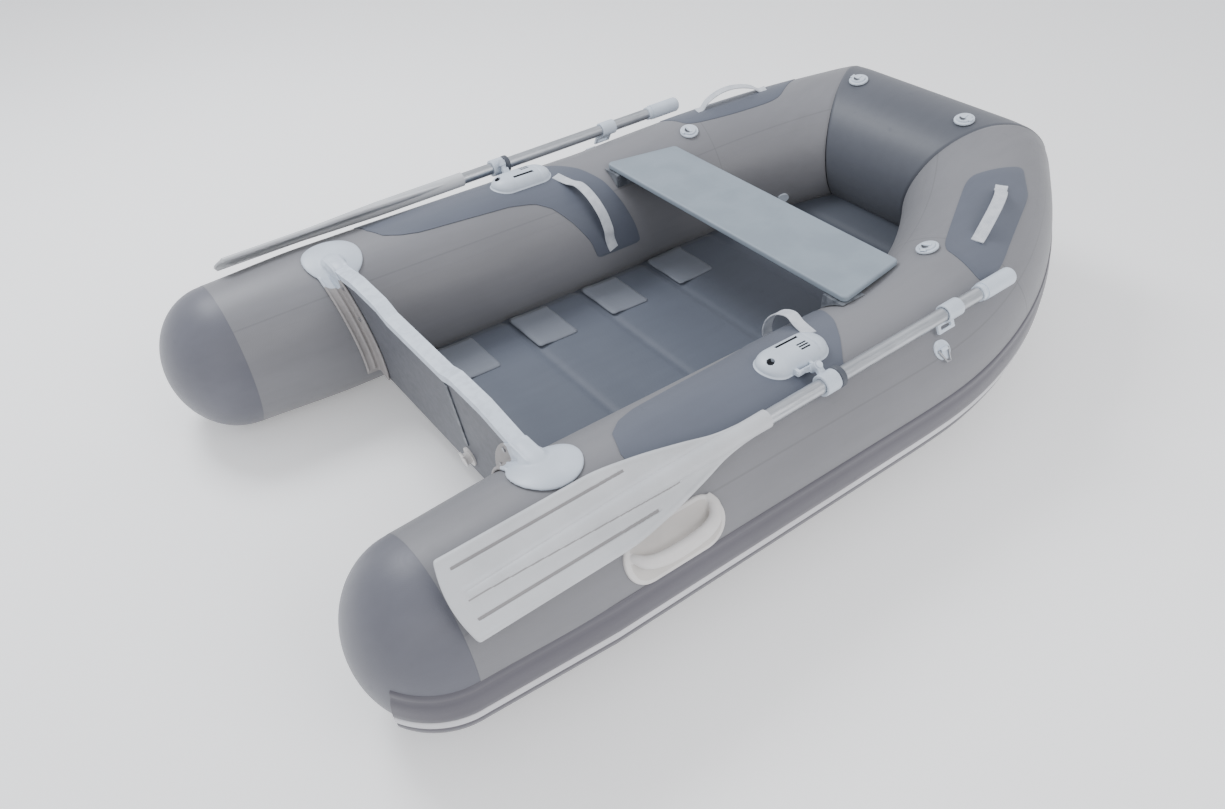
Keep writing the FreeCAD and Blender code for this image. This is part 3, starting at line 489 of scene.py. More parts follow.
def moulded(name, colour, rough=0.42, grain_size=900.0, grain=0.25, speck=0.0, worn=None):
    """Moulded plastic or painted board: fine grain, uneven tone, lighter worn edges."""
    m = Material(name, Specular_IOR_Level=0.45)
    dark, light = shades(colour, 0.94, 1.04)
    cloud = m.noise(11.0, 4.0)
    shade = m.mix(m.step(cloud, 0.35, 0.65), dark, light)
    pits = m.noise(grain_size, 2.0)
    if speck:
        spots = m.step(m.noise(430.0, 1.0), 0.56, 0.70)
        shade = m.mix(m.times(spots, speck), shade, shades(colour, 0.52)[0])
    edge = m.step(m.add("NewGeometry").outputs["Pointiness"], 0.515, 0.60)
    worn_colour = worn or shades(colour, 1.0, 1.16)[1]
    rubbed = m.times(edge, m.step(m.noise(60.0, 4.0), 0.35, 0.6, 0.2, 0.9))
    shade = m.mix(rubbed, shade, worn_colour)
    roughness = m.plus(m.times(m.noise(70.0, 4.0), 0.16), rough - 0.08)
    m.finish(shade, roughness, pits, 0.0002 + 0.0004 * grain, 0.5)


def make_materials():
    coated_fabric("tube_fabric", rgb(122, 122, 126), (39.0, 132.0), (1.345,))
    coated_fabric("dark_fabric", rgb(88, 93, 105))
    coated_fabric("cone_fabric", rgb(97, 98, 107))
    coated_fabric("bow_fabric", rgb(83, 86, 94))
    # Floor and flaps carry a painted shadow toward the bow.
    coated_fabric("floor_fabric", rgb(91, 97, 109), rough=0.56, pitch=0.0022, bow_painted_shadow=0.62)
    coated_fabric("flap_fabric", rgb(119, 124, 134), rough=0.55, pitch=0.0022, bow_painted_shadow=0.45)
    coated_fabric("strake_rubber", rgb(86, 84, 92), rough=0.38)
    coated_fabric("insert_rubber", rgb(205, 204, 208), rough=0.36)
    moulded("slat_board", rgb(101, 109, 124))
    moulded("transom_board", rgb(90, 92, 99), 0.5, 520.0)
    moulded("white_plastic", rgb(202, 211, 222), 0.40)
    moulded("cap_plastic", rgb(198, 207, 218), 0.52, 380.0, 0.8, speck=0.22)
    moulded("warm_plastic", rgb(214, 211, 209), 0.44, 600.0, 0.4)
    # Painted shade for the lifting handle's sunken field under the grip.
    moulded("recess_painted_shade", rgb(198, 194, 190), 0.5, 600.0, 0.4)
    moulded("bracket_grey", rgb(158, 154, 153), 0.5, 500.0, 0.5)
    # Painted shade for the blade's grooves and the shadow under its spine.
    moulded("blade_painted_shade", rgb(146, 144, 145), 0.6, 620.0, 0.5, worn=rgb(158, 156, 157))
    moulded("blade_plastic", rgb(196, 198, 201), 0.48, 620.0, 0.5)
    moulded("bench_plastic", rgb(138, 149, 159), 0.5, 460.0, 0.5)
    moulded("black_plastic", rgb(74, 78, 86), 0.45, worn=rgb(120, 124, 130))
    # Painted shade: the dark put in the rowlock's holes and slots and on the valve lids' shadowed
    # edge.
    moulded("dark_painted_shade", rgb(58, 60, 66), 0.6, worn=rgb(70, 72, 78))
    webbing()
    metal("aluminium", rgb(196, 199, 203), 0.30)
    metal("steel", rgb(170, 171, 174), 0.28)


def webbing():
    """Woven strap: ribs across, cords along, a little fuzz."""
    m = Material("webbing", Sheen_Weight=0.35, Sheen_Roughness=0.6)
    across, along = m.run()
    ribs = m.math("SINE", m.times(along, 2 * math.pi / 0.0026))
    cords = m.math("SINE", m.times(across, 2 * math.pi * 9))
    height = m.times(m.plus(ribs, m.times(cords, 0.7)), 0.5)
    tone = m.plus(m.times(height, 0.25), m.times(m.noise(45.0, 4.0), 0.9))
    shade = m.mix(m.step(tone, 0.15, 0.75), rgb(190, 196, 205), rgb(226, 230, 237))
    m.finish(shade, 0.72, height, 0.0006)


def metal(name, colour, rough):
    """Drawn metal with fine lengthwise scratches."""
    m = Material(name, Metallic=1.0)
    scratch = m.noise(30.0, 6.0, m.stretched(1.0, 24.0, 24.0))
    stain = m.noise(8.0, 5.0)
    dark, light = shades(colour, 0.82, 1.04)
    tone = m.plus(m.times(scratch, 0.5), m.times(stain, 0.5))
    shade = m.mix(m.step(tone, 0.35, 0.65), dark, light)
    roughness = m.plus(m.times(scratch, 0.22), rough - 0.05)
    m.finish(shade, roughness, scratch, 0.0002, 0.4)


# --- air tubes ---
VALVE_HOLE_R = 0.0165
# How much longer a run along the bent skin is than its distance along x, near the bow.
SLANT = 1.3


def along_line(x):
    """Metres along the hull from the cone's seam, near enough for seam marks."""
    steps = [SEAM_X, LIFT_X, BEND_X, 0.35, PANEL_SEAM_X, 0.6, 0.7, LEG_X, BOW_X]
    total = 0.0
    for a, b in zip(steps, steps[1:]):
        if x <= a:
            break
        end = min(x, b)
        total += np.linalg.norm(centre(end) - centre(a))
    if x > BOW_X:
        total += (x - BOW_X) * SLANT
    return total


def corner_drop(distance, angle):
    """How far the skin dips at the glued mitre, with a softer shoulder on the outer side."""
    crease = 0.0022 * bell(distance, 0.004)
    shoulder = 0.006 * bell(distance, 0.030) * max(0.0, cosd(angle))
    return crease + shoulder


def valve_frames():
    """Centre and outward direction of the port side valve and the port bow valve."""
    x, angle = 0.432, 107.0
    _, _, outboard, upward = tube_frame(x)
    side = skin(x, angle), outboard * cosd(angle) + upward * sind(angle)
    out = np.array((cosd(104.0), 0, sind(104.0)))
    bow = np.array((BOW_X, 0.164, BOW_Z)) + out * TUBE_R, out
    return side, bow


def valve_cutter(at, out):
    """A rod through the skin where a valve's body stands."""
    return rod_mesh(at - out * 0.03, at + out * 0.03, VALVE_HOLE_R)


def tube_covers():
    """The side tubes with their bow quarters, and the cross tube at the bow, with valve holes."""
    angles = np.arange(AROUND) * 360 / AROUND
    us = np.linspace(0, 1, AROUND + 1)
    ends = [mitre_x(a) for a in angles]
    taper, level = np.linspace(SEAM_X, TAPER_X, 14), np.linspace(TAPER_X, LIFT_X, 34)[1:]
    rows, vs = [], []
    for x in np.concatenate([taper, level]):
        radius = TUBE_R
        if x <= TAPER_X:
            radius -= (TUBE_R - CONE_R) * smoothstep(TAPER_X, SEAM_X - 0.06, x)
        rows.append([(x, SIDE_Y + radius * cosd(a), AXIS_Z + radius * sind(a)) for a in angles])
        vs.append([x - SEAM_X] * AROUND)
    for part in np.concatenate([np.linspace(0, 0.94, 70)[1:], np.linspace(0.94, 1, 24)[1:]]):
        row, v = [], []
        for angle, end in zip(angles, ends):
            x = LIFT_X + (end - LIFT_X) * part
            drop = corner_drop((end - x) * SLANT, angle)
            row.append(skin(x, angle, -drop))
            v.append(along_line(x))
        rows.append(row)
        vs.append(v)
    side_valve, bow_valve = valve_frames()
    for side, turn in SIDES:
        mesh = grid_mesh(side, turn(rows), wrap=True, us=us, vs=vs)
        mesh = cut(mesh, [valve_cutter(turn(side_valve[0]), turn(side_valve[1]))])
        names = [side + end for end in ("_side_tube", "_bow_panel_aft", "_bow_panel_forward")]
        piece(side + "_tube_cover", mesh, "tube_fabric", replaces=names, sharp=50)
    rows = []
    limits = [BOW_Y - (TOWARDS[0] * cosd(a) + TOWARDS[2] * sind(a)) * TUBE_R / TOWARDS[1]
              for a in angles]
    shares = np.concatenate([-np.linspace(1, 0.85, 22), np.linspace(-0.85, 0.85, 50)[1:-1],
                             np.linspace(0.85, 1, 22)])
    for share in shares:
        row = []
        for angle, limit in zip(angles, limits):
            r = TUBE_R - corner_drop(limit * (1 - abs(share)), angle)
            row.append((BOW_X + r * cosd(angle), limit * share, BOW_Z + r * sind(angle)))
        rows.append(row)
    half = len(shares) // 2
    halves = []
    for (_, turn), part in zip(SIDES, (slice(half, None), slice(0, half + 1))):
        tube = grid_mesh("bow", rows[part], wrap=True, us=us, vs=shares[part] * 0.3)
        halves.append(cut(tube, [valve_cutter(turn(bow_valve[0]), turn(bow_valve[1]))]))
    piece("bow_tube_cover", joined(halves, weld=True), "bow_fabric",
          replaces=["bow_tube"], sharp=50)


def cone_covers():
    """Stern cones, lapped over the end of the tube with a small raised edge."""
    angles = np.arange(AROUND) * 360 / AROUND
    lap = [(SEAM_X + 0.010, -0.0006), (SEAM_X + 0.010, 0.0008), (SEAM_X + 0.006, 0.0010),
           (SEAM_X, 0.0008)]
    profile = [(x, CONE_R + out + (x - SEAM_X) * 0.05) for x, out in lap]
    turns = np.linspace(0, math.pi / 2, 40)[1:]
    profile += [(SEAM_X - CONE_LENGTH * math.sin(t), max(0.0006, CONE_R * math.cos(t) + 0.0006))
                for t in turns]
    rows = [[(x, SIDE_Y + r * cosd(a), AXIS_Z + r * sind(a)) for a in angles] for x, r in profile]
    for side, turn in SIDES:
        mesh = grid_mesh(side, turn(rows), wrap=True)
        piece(side + "_cone_cover", mesh, "cone_fabric",
              replaces=[side + "_stern_cone"])


def valve_shadow_crescents():
    """A painted shadow on each valve's lid: a thin dark crescent at its aft edge, where the gap
    between lid and ring lies in shade.
    """
    section = ((-1, -0.0002), (-1, 0.00015), (0, 0.0003), (1, 0.00015), (1, -0.0002))
    for place, (at, out) in zip(("_side", "_bow"), valve_frames()):
        for side, turn in SIDES:
            label = side + place + "_valve_"
            middle, up = turn(at), unit(turn(out))
            lid = NODES[label + "cap"]
            points = np.array([lid.matrix_world @ v.co for v in lid.data.vertices]) - middle
            near = points[np.linalg.norm(points - np.outer(points @ up, up), axis=1) < 0.014]
            top = (near @ up).max()
            aft = unit(np.array((-1, 0, 0)) - up * np.dot((-1, 0, 0), up))
            across = np.cross(up, aft)
            rings = []
            for turned_by in np.linspace(-62, 62, 25):
                width = 0.0030 * cosd(turned_by * 90 / 64)
                away = aft * cosd(turned_by) + across * sind(turned_by)
                rings.append([middle + up * (top + rise) + away * (0.0100 + r * width)
                              for r, rise in section])
            mesh = closed_mesh("shadow_crescent", rings)
            piece(label + "shadow_crescent", mesh, "dark_painted_shade", label + "cap_body")


# --- rub strake ---
# Angles round the tube, with millimetres outside its skin.
STRAKE_PROFILE = ((10, 0.3), (9.5, 2.2), (8.4, 3.2), (6.6, 3.4), (4.8, 2.2), (3.0, 4.6),
                  (0.6, 6.8), (-2.4, 7.8), (-6, 9.2), (-8.6, 10.4), (-9.8, 9.4), (-16.8, 9.6),
                  (-17.8, 12.0), (-21, 13.2), (-24, 13.2), (-26.6, 11.6), (-29, 8.6), (-32, 6.4),
                  (-36, 5.6), (-40, 4.4), (-42, 0.3))
INSERT_PROFILE = ((-10.1, 8.4), (-10.4, 10.6), (-11.4, 11.6), (-13.2, 12.2), (-15.2, 12.2),
                  (-16.4, 11.6), (-16.6, 8.4))


def meeting_angle(angle):
    """The side tube's angle whose line meets the bow tube's line at an angle, at the mitre."""
    height = BOW_Z + TUBE_R * sind(angle)
    return bisected(angle - 30, angle + 30, 16, lambda a: skin(mitre_x(a), a)[2] < height)


def strake_rings(profile):
    """Rings of a profile from the stern cone along the tube and the bow to the middle line."""
    def cone(turn):
        reach = 1 / math.hypot(sind(turn) / CONE_LENGTH, cosd(turn) / CONE_R)
        out = np.array((-sind(turn), cosd(turn), 0))
        middle = np.array((SEAM_X, SIDE_Y, AXIS_Z))
        return lambda a, s: (middle + out * ((reach + s) * cosd(a))
                             + np.array((0, 0, (CONE_R + s) * sind(a))))

    def bow(y=None):
        def place(a, s):
            dx, dz = (TUBE_R + s) * cosd(a), (TUBE_R + s) * sind(a)
            at = BOW_Y - (TOWARDS[0] * dx + TOWARDS[2] * dz) / TOWARDS[1] if y is None else y
            return np.array((BOW_X + dx, at, BOW_Z + dz))
        return place

    meets = {a: meeting_angle(a) for a, _ in profile}
    ends = {a: mitre_x(meets[a]) for a in meets}

    def toward_bow(part):
        turn = smoothstep(0.35, 1.0, part)
        return lambda a, s: skin(LIFT_X + (ends[a] - LIFT_X) * part, a + (meets[a] - a) * turn, s)

    makers = [cone(t) for t in np.linspace(52, 0, 16)]
    makers += [lambda a, s, x=x: skin(x, a, s) for x in np.linspace(TAPER_X, LIFT_X, 12)]
    makers += [toward_bow(part) for part in np.linspace(0, 0.995, 60)[1:]]
    makers += [bow(), bow(0.16), bow(0.08), bow(0.0001)]
    return [[maker(a, s / 1000) for a, s in profile] for maker in makers]


def strakes():
    for side, turn in SIDES:
        mesh = closed_mesh(side, turn(strake_rings(STRAKE_PROFILE)))
        piece(side + "_strake", mesh, "strake_rubber", replaces=[side + "_rub_strake"], sharp=50)
    lines = paired(strake_rings(INSERT_PROFILE), wrap=True, caps=True)
    piece("strake_lines", lines, "insert_rubber", replaces=["rub_strake_inserts"], sharp=50)


# --- floor ---
FLOOR_Z = 0.067
FLOOR_RISE = 0.106
SLAT_PITCH = 0.2165
SLAT_FIRST_X = -0.470
SLAT_GAP = 0.007
FLOOR_AFT_X = -0.578
FLOOR_FWD_X = 0.704
SLAT_TOP = 0.0135


def floor_z(x):
    return FLOOR_Z + FLOOR_RISE * max(0.0, (x - LIFT_X) / 0.588) ** 2


def floor_half(x, height):
    """Where a floor at a height meets the tube's inner side."""
    inner = SIDE_Y - math.sqrt(TUBE_R ** 2 - (AXIS_Z - height) ** 2)
    for station in np.linspace(LIFT_X, BOW_X, 240):
        middle, _, outboard, _ = tube_frame(station)
        reach = math.sqrt(max(0.0, TUBE_R ** 2 - (middle[2] - height) ** 2))
        if (middle - outboard * reach)[0] > x:
            break
        inner = (middle - outboard * reach)[1]
    return inner


def floor_top(x, y, half):
    """Height of the floor's cover: slats in pockets, creases between them, a dip at the sides."""
    z = floor_z(x) + SLAT_TOP
    for i in range(-1, 7):
        gap = SLAT_FIRST_X + SLAT_PITCH * i - SLAT_GAP / 2
        z -= 0.0040 * bell(x - gap, 0.011)
        z += 0.0012 * bell(x - gap - 0.045, 0.034)
    side = smoothstep(half - 0.035, half, abs(y))
    return z - side * 0.009


def floor_covers():
    """The cover over the slats and the bottom sheet, both between the tubes."""
    xs = np.arange(FLOOR_AFT_X, FLOOR_FWD_X, 0.0045)
    top, bottom = [], []
    for x in xs:
        half = floor_half(x, floor_z(x) + 0.004) + 0.003
        ys = half * np.sin(np.linspace(-1, 1, 49) * math.pi / 2)
        wave = 0.0006 * math.sin(x * 41)
        top.append([(x, y, floor_top(x, y, half) + wave * cosd(y * 700)) for y in ys])
        bottom.append([(x, y, floor_z(x) + 0.001) for y in ys])
    sheets = ("floor_cover", top, "floor_slats"), ("floor_bottom", bottom, "floor_fabric")
    for name, rows, node in sheets:
        sheet = piece(name, grid_mesh(name, rows), "floor_fabric", replaces=[node], sharp=60)
        declare_sheet(sheet, 0.0012, -1.0)


def declare_sheet(sheet, thickness, offset):
    thick = sheet.modifiers.new("thickness", "SOLIDIFY")
    thick.thickness = thickness
    thick.offset = offset


def floor_flaps():
    """Loose flaps over the slats' pockets, a little lifted at their aft edge."""
    length, low, high = 0.110, 0.155, 0.298
    meshes = []
    for i in range(4):
        start = SLAT_FIRST_X + SLAT_PITCH * i + 0.001
        rows = []
        for u in np.linspace(0, 1, 22):
            x = start + length * u
            lift = 0.0052 * (1 - smoothstep(0, 0.45, u)) + 0.0011
            inset = 0.006 * corner_inset(min(u, 1 - u) / 0.06)
            ys = np.linspace(low + inset, high - inset, 14)
            z = floor_top(x, 0, 1) + lift
            rows.append([(x, y, z + 0.0006 * math.sin(y * 80 + i)) for y in ys])
        meshes.append(grid_mesh("flap", rows))
    flaps = piece("floor_flaps", joined(meshes), "flap_fabric", replaces=["slat_flaps"],
                  sharp=60)
    declare_sheet(flaps, 0.0018, 1.0)


# --- patches ---
def patch_rings(outline, middle, surface, rounds=10, thick=0.0016):
    """Rings from a patch's outline in to its middle, laid on a surface, with a thin glued edge."""
    outline, middle = np.asarray(outline, float), np.asarray(middle, float)
    rings = [[surface(p, -0.001) for p in outline], [surface(p, thick - 0.0006) for p in outline]]
    shrink = middle + (outline - middle) * 0.985
    rings.append([surface(p, thick) for p in shrink])
    for k in range(1, rounds + 1):
        share = (1 - k / rounds) * 0.985 + 0.0001
        rings.append([surface(p, thick) for p in middle + (outline - middle) * share])
    return rings


def rounded_outline(corners, radius_share=0.22, per_corner=7, per_side=14):
    """Closed outline through corners, each rounded by a share of its shorter side."""
    corners = np.asarray(corners, float)
    count = len(corners)
    points = []
    for i in range(count):
        before, at, after = corners[i - 1], corners[i], corners[(i + 1) % count]
        start, end = at + (before - at) * radius_share, at + (after - at) * radius_share
        for t in np.linspace(0, 1, per_corner):
            points.append((1 - t) ** 2 * start + 2 * t * (1 - t) * at + t * t * end)
        stop = after + (at - after) * radius_share
        for t in np.linspace(0, 1, per_side)[1:-1]:
            points.append(end + (stop - end) * t)
    return np.array(points)


def tube_place(x, y):
    """(position along the hull, angle) of the tube's top surface above a plan point."""
    def short(station):
        at, tangent, _, _ = tube_frame(station)
        return (x - at[0]) * tangent[0] + (y - at[1]) * tangent[1] > 0

    station = bisected(BEND_X, BOW_X, 40, short)
    at, _, outboard, _ = tube_frame(station)
    offset = (x - at[0]) * outboard[0] + (y - at[1]) * outboard[1]
    return station, math.degrees(math.acos(max(-1, min(1, offset / TUBE_R))))


def on_tube(place, out):
    return skin(place[0], place[1], out)


# Plan points of the bow patch's corners, and (angle, x) along the rowlock patch's two ends.
BOW_PATCH = ((0.419, 0.516), (0.437, 0.404), (0.660, 0.276), (0.782, 0.330), (0.722, 0.398),
             (0.495, 0.509))
PATCH_LOW, PATCH_HIGH = 57, 182
ROWLOCK_AFT = ((40, -0.500), (62, -0.498), (84, -0.494), (98, -0.474), (104, -0.440),
               (108, -0.395), (111, -0.28), (114, -0.165), (119, -0.105), (128, -0.070),
               (145, -0.035), (165, 0.000), (182, 0.016))
ROWLOCK_FORWARD = ((40, -0.060), (55, -0.034), (70, -0.006), (84, 0.030), (100, 0.066),
                   (120, 0.098), (145, 0.122), (165, 0.140), (182, 0.151))


def patches():
    hexagon = [tube_place(x, y) for x, y in rounded_outline(BOW_PATCH, 0.16)]
    rings = patch_rings(hexagon, np.mean(hexagon, 0), on_tube)
    piece("bow_patches", paired(rings, wrap=True), "dark_fabric", replaces=["bow_handle_patches"])
    meshes = [grid_mesh(side, turn(rowlock_rows(spread)))
              for (side, turn), spread in zip(SIDES, (0, 9))]
    piece("rowlock_covers", joined(meshes), "dark_fabric", replaces=["rowlock_patches"])


def rowlock_rows(spread):
    """The patch under a rowlock; spread widens its long aft tongue, in degrees."""
    rows = []
    tongue = [(a + spread * smoothstep(90, 112, a) * (1 - smoothstep(119, 150, a)), x)
              for a, x in ROWLOCK_AFT]
    for a in np.concatenate([np.linspace(PATCH_LOW, 118, 60),
                             np.linspace(118, PATCH_HIGH, 40)[1:]]):
        aft = np.interp(a, *zip(*tongue))
        forward = np.interp(a, *zip(*ROWLOCK_FORWARD))
        edge = 0.012 * corner_inset(min(a - PATCH_LOW, PATCH_HIGH - a) / 4)
        xs = aft + edge + (forward - aft - 2 * edge) * (1 - np.cos(np.linspace(0, math.pi, 60))) / 2
        end = 0.0004 if a in (PATCH_LOW, PATCH_HIGH) else 0.0016
        row = [skin(x, a, end) for x in xs]
        rows.append([skin(xs[0], a, -0.001)] + row + [skin(xs[-1], a, -0.001)])
    return rows


# --- webbing ---
def strap_section(width, thick):
    """Flat strap with rolled edges."""
    half = width / 2 - thick / 2
    right = [(half + thick / 2 * cosd(a), thick / 2 * sind(a)) for a in np.linspace(-90, 90, 7)]
    left = [(-x, -y) for x, y in right]
    top = [(x, thick / 2 - 0.0004) for x in np.linspace(half, -half, 7)[1:-1]]
    bottom = [(x, -thick / 2 + 0.0004) for x in np.linspace(-half, half, 7)[1:-1]]
    return right + top + left + bottom


def strap_mesh(path, side, width=0.027, thick=0.0032):
    section = strap_section(width, thick)
    rings = swept(path, np.asarray(side, float), section)
    lengths = np.concatenate([[0], np.cumsum(np.linalg.norm(np.diff(path, axis=0), axis=1))])
    us = np.array([x / width + 0.5 for x, _ in section] + [section[0][0] / width + 0.5])
    return grid_mesh("strap", rings, wrap=True, caps=True, us=us, vs=lengths)


# x in millimetres, angle, and millimetres off the skin.
INNER_HANDLE = ((-4, 99, 2.6), (4, 107, 4.0), (10, 113, 9), (18, 121, 24), (26, 133, 31),
                (35, 146, 31), (43, 158, 24), (51, 166, 9), (57, 172, 4.0), (64, 178, 2.6))


def webbing_handles():
    path = curve_points([skin(x / 1000, a, out / 1000) for x, a, out in INNER_HANDLE], 70)
    for side, turn in SIDES:
        piece(side + "_inner_strap", strap_mesh(turn(path), (1, 0, 0)), "webbing",
              replaces=[side + "_inner_handle"])
    points = []
    for part in np.linspace(0, 1, 13):
        x = 0.492 + 0.176 * part
        rise = 0.030 * math.sin(math.pi * clamp(1.2 * part - 0.1)) ** 0.7
        points.append(skin(x, 80, 0.0032 + rise))
    path = curve_points(points, 70)
    run = path[-1] - path[0]
    across = unit((-run[1], run[0], 0))
    meshes = [strap_mesh(turn(path), turn(across)) for _, turn in SIDES]
    piece("bow_straps", joined(meshes), "webbing", replaces=["bow_handles"])


# --- lifting handle ---
def lifting_handles():
    """Pad with a thick grip that rises from its lower half and runs back into it."""
    x0, x1, middle, half, end = -0.591, -0.383, 26.5, 16.0, 0.046
    outline = np.array([(x + end * cosd(a), middle + half * sind(a))
                        for x, low in ((x0 + end, 90), (x1 - end, -90))
                        for a in np.linspace(low, low + 180, 19)])
    centre_point = np.array(((x0 + x1) / 2, middle))
    profile = ((0.001, -0.002), (0.5, -0.002), (1.0, -0.002), (1.0, -0.002), (1.0, 0.0035),
               (0.985, 0.0058), (0.95, 0.0068), (0.82, 0.0052), (0.4, 0.0040), (0.001, 0.0038))
    rings = [[on_tube(p, out) for p in centre_point + (outline - centre_point) * share]
             for share, out in profile]
    pad = grid_mesh("pad", rings, wrap=True)
    # The grip's path: x, angle, metres off the skin and half its thickness in millimetres.
    steps = ((-0.577, 32.5, 0.001, 4), (-0.570, 29.5, 0.011, 8), (-0.556, 26.5, 0.020, 11),
             (-0.525, 25, 0.026, 12.5), (-0.480, 25, 0.027, 12.5), (-0.440, 26, 0.025, 12.5),
             (-0.414, 28.5, 0.019, 12), (-0.402, 34, 0.011, 10.5), (-0.404, 40, 0.003, 6))
    count = 60
    last = count - 1
    path = curve_points([on_tube((x, a), out) for x, a, out, _ in steps], count)
    sizes = np.interp(np.linspace(0, 1, count), np.linspace(0, 1, len(steps)),
                      [step[3] / 1000 for step in steps])
    out = unit((0, cosd(20), sind(20)))

    def section(share):
        r = sizes[int(round(share * last))]
        return [(r * cosd(a) * 1.05, r * sind(a) * 0.85) for a in np.arange(24) * 15]

    widths = [np.cross(out, unit(path[min(last, i + 1)] - path[max(0, i - 1)]))
              for i in range(count)]
    grip = closed_mesh("grip", swept(path, np.array(widths), section))

    # Painted shade: the pad's sunken field round and under the grip takes a darker tone.
    def in_grip_shade(at):
        y, z = abs(at[1]) - SIDE_Y, at[2] - AXIS_Z
        along, angle = np.array((at[0], math.degrees(math.atan2(z, y)))) - centre_point
        reach = math.hypot(max(0, abs(along) - 0.056) / end, angle / half)
        return math.hypot(y, z) - TUBE_R < 0.0062 and reach < 0.84

    shape = softened(joined([pad, grip]), 0.0014, 4)
    for side, turn in SIDES:
        piece(side + "_lift_handle", turned(shape, turn), "warm_plastic",
              replaces=[side + "_lifting_handle"], sharp=80, second=("recess_painted_shade", in_grip_shade))


# --- oars ---
OAR_POINT = np.array((-0.200, 0.559, 0.342))
OAR_DIR = unit((1.0, -0.006, 0.0246))
BLADE_TILT = 35.0
COLLAR = OAR_POINT + OAR_DIR * ((-0.095 + 0.200) / OAR_DIR[0])
PORT_SHIFT = 0.050
BLADE_END = -0.762
BLADE_SOCKET = -0.151
# (x, half width) from the blade's flat to its socket.
BLADE_OUTLINE = ((-0.500, 0.067), (-0.405, 0.056), (-0.315, 0.037), (-0.255, 0.0225),
                 (-0.205, 0.0172), (-0.151, 0.0170))


def oar_points(points, shift):
    out = np.array((0, sind(BLADE_TILT), cosd(BLADE_TILT)))
    y = unit(np.cross(out, OAR_DIR))
    z = np.cross(OAR_DIR, y)
    points = np.asarray(points, float)
    return COLLAR + (points[..., :1] + shift) * OAR_DIR + points[..., 1:2] * y + points[..., 2:] * z


def blade_half(x):
    """Half the blade's width, with small round corners at its end."""
    if x > BLADE_OUTLINE[0][0]:
        return smooth_interp(x, *zip(*BLADE_OUTLINE))
    corner = 0.006
    into = x - BLADE_END
    inset = 0.0
    if into < corner:
        inset = corner - math.sqrt(max(0.0, corner ** 2 - (corner - into) ** 2))
    return BLADE_OUTLINE[0][1] - inset


def smooth_interp(x, xs, values):
    """Monotone cubic reading of a short table."""
    slopes = np.gradient(values, xs)
    slopes[0] = slopes[-1] = 0.0
    i = int(np.clip(np.searchsorted(xs, x) - 1, 0, len(xs) - 2))
    h = xs[i + 1] - xs[i]
    t = (x - xs[i]) / h
    a, b = values[i], values[i + 1]
    return ((2 * t ** 3 - 3 * t ** 2 + 1) * a + (t ** 3 - 2 * t ** 2 + t) * h * slopes[i]
            + (-2 * t ** 3 + 3 * t ** 2) * b + (t ** 3 - t ** 2) * h * slopes[i + 1])


# (distance from the middle, forward end) of each groove.
BLADE_GROOVES = ((-0.044, -0.430), (0.038, -0.410))


def spine_radius(x):
    return 0.0075 + 0.0095 * clamp((x + 0.724) / 0.343)


def blade_height(x, y, half):
    """Half thickness of the blade: plate, rim, round spine and two grooves."""
    edge = max(0.0, half - abs(y))
    plate = 0.0036 * math.sqrt(min(1.0, edge / 0.0036))
    plate += 0.0016 * bell(edge - 0.0055, 0.0035) * (1 - smoothstep(-0.34, -0.26, x))
    radius = spine_radius(x)
    tip = clamp((x + 0.738) / 0.014)
    rise = math.sqrt(1 - (1 - tip) ** 2)
    spine = math.sqrt(max(0.0, radius ** 2 - y * y)) * rise
    foot = 0.0022 * rise * bell(abs(y) - radius, 0.004) * (1 - smoothstep(-0.30, -0.24, x))
    body = max(plate + foot, spine)
    for line, ahead in BLADE_GROOVES:
        ends = smoothstep(-0.742, -0.737, x) * (1 - smoothstep(ahead - 0.005, ahead, x))
        body -= 0.0030 * math.exp(-((y - line) / 0.0029) ** 4) * ends
    return max(body, 0.0)


def in_blade_shade(x, y, z):
    """Whether a point of the blade takes painted shade: in the grooves and along a painted shadow
    line at the foot of the spine.
    """
    if z < 0:
        return False
    foot = spine_radius(x)
    if -0.735 < x < -0.36 and foot - 0.0006 < y < foot + 0.0016:
        return True
    return any(abs(y - line) < 0.0023 and -0.7395 < x < ahead - 0.003
               for line, ahead in BLADE_GROOVES)


def blades():
    xs = np.concatenate([BLADE_END + 0.016 * (1 - np.cos(np.linspace(0, math.pi / 2, 10))),
                         np.arange(BLADE_END + 0.0185, BLADE_SOCKET, 0.0035), [BLADE_SOCKET]])
    shares = np.linspace(-1, 1, 171)
    rows = []
    for x in xs:
        half = blade_half(x)
        end = math.sqrt(min(1.0, (x - BLADE_END) / 0.003)) if x < -0.7 else 1.0
        upper = [(x, y, blade_height(x, y, half) * end) for y in shares * half]
        lower = [(x, y, -blade_height(x, y, half) * end) for y in (shares * half)[::-1][1:-1]]
        rows.append(upper + lower)
    flat = closed_mesh("flat", rows)
    # Faces that take painted shade.
    flags = [in_blade_shade(*face.center) for face in flat.polygons]
    for x, row in zip(xs, rows):
        bow = 0.010 * (1 - smoothstep(BLADE_END, -0.60, x))
        row[:] = [(px - bow * (1 - (py / blade_half(x)) ** 2), py, pz) for px, py, pz in row]
    for side, turn in SIDES:
        shift = PORT_SHIFT if side == "port" else 0.0
        mesh = closed_mesh(side, turn(oar_points(rows, shift)))
        piece(side + "_blade", mesh, "blade_plastic", body=side + "_oar",
              replaces=[side + "_oar_blade"], sharp=60, second=("blade_painted_shade", flags))


def melted(node, name, material, body):
    """A moulded piece in place of a CAD node: the same shape with its edges rounded over."""
    mesh = softened(NODES[node].data.copy(), 0.0011, 5)
    return piece(name, mesh, material, body, [node], sharp=70)


# --- transom brackets ---
PAD_X, PAD_ANGLE, PAD_R = -0.605, 104, 0.0655


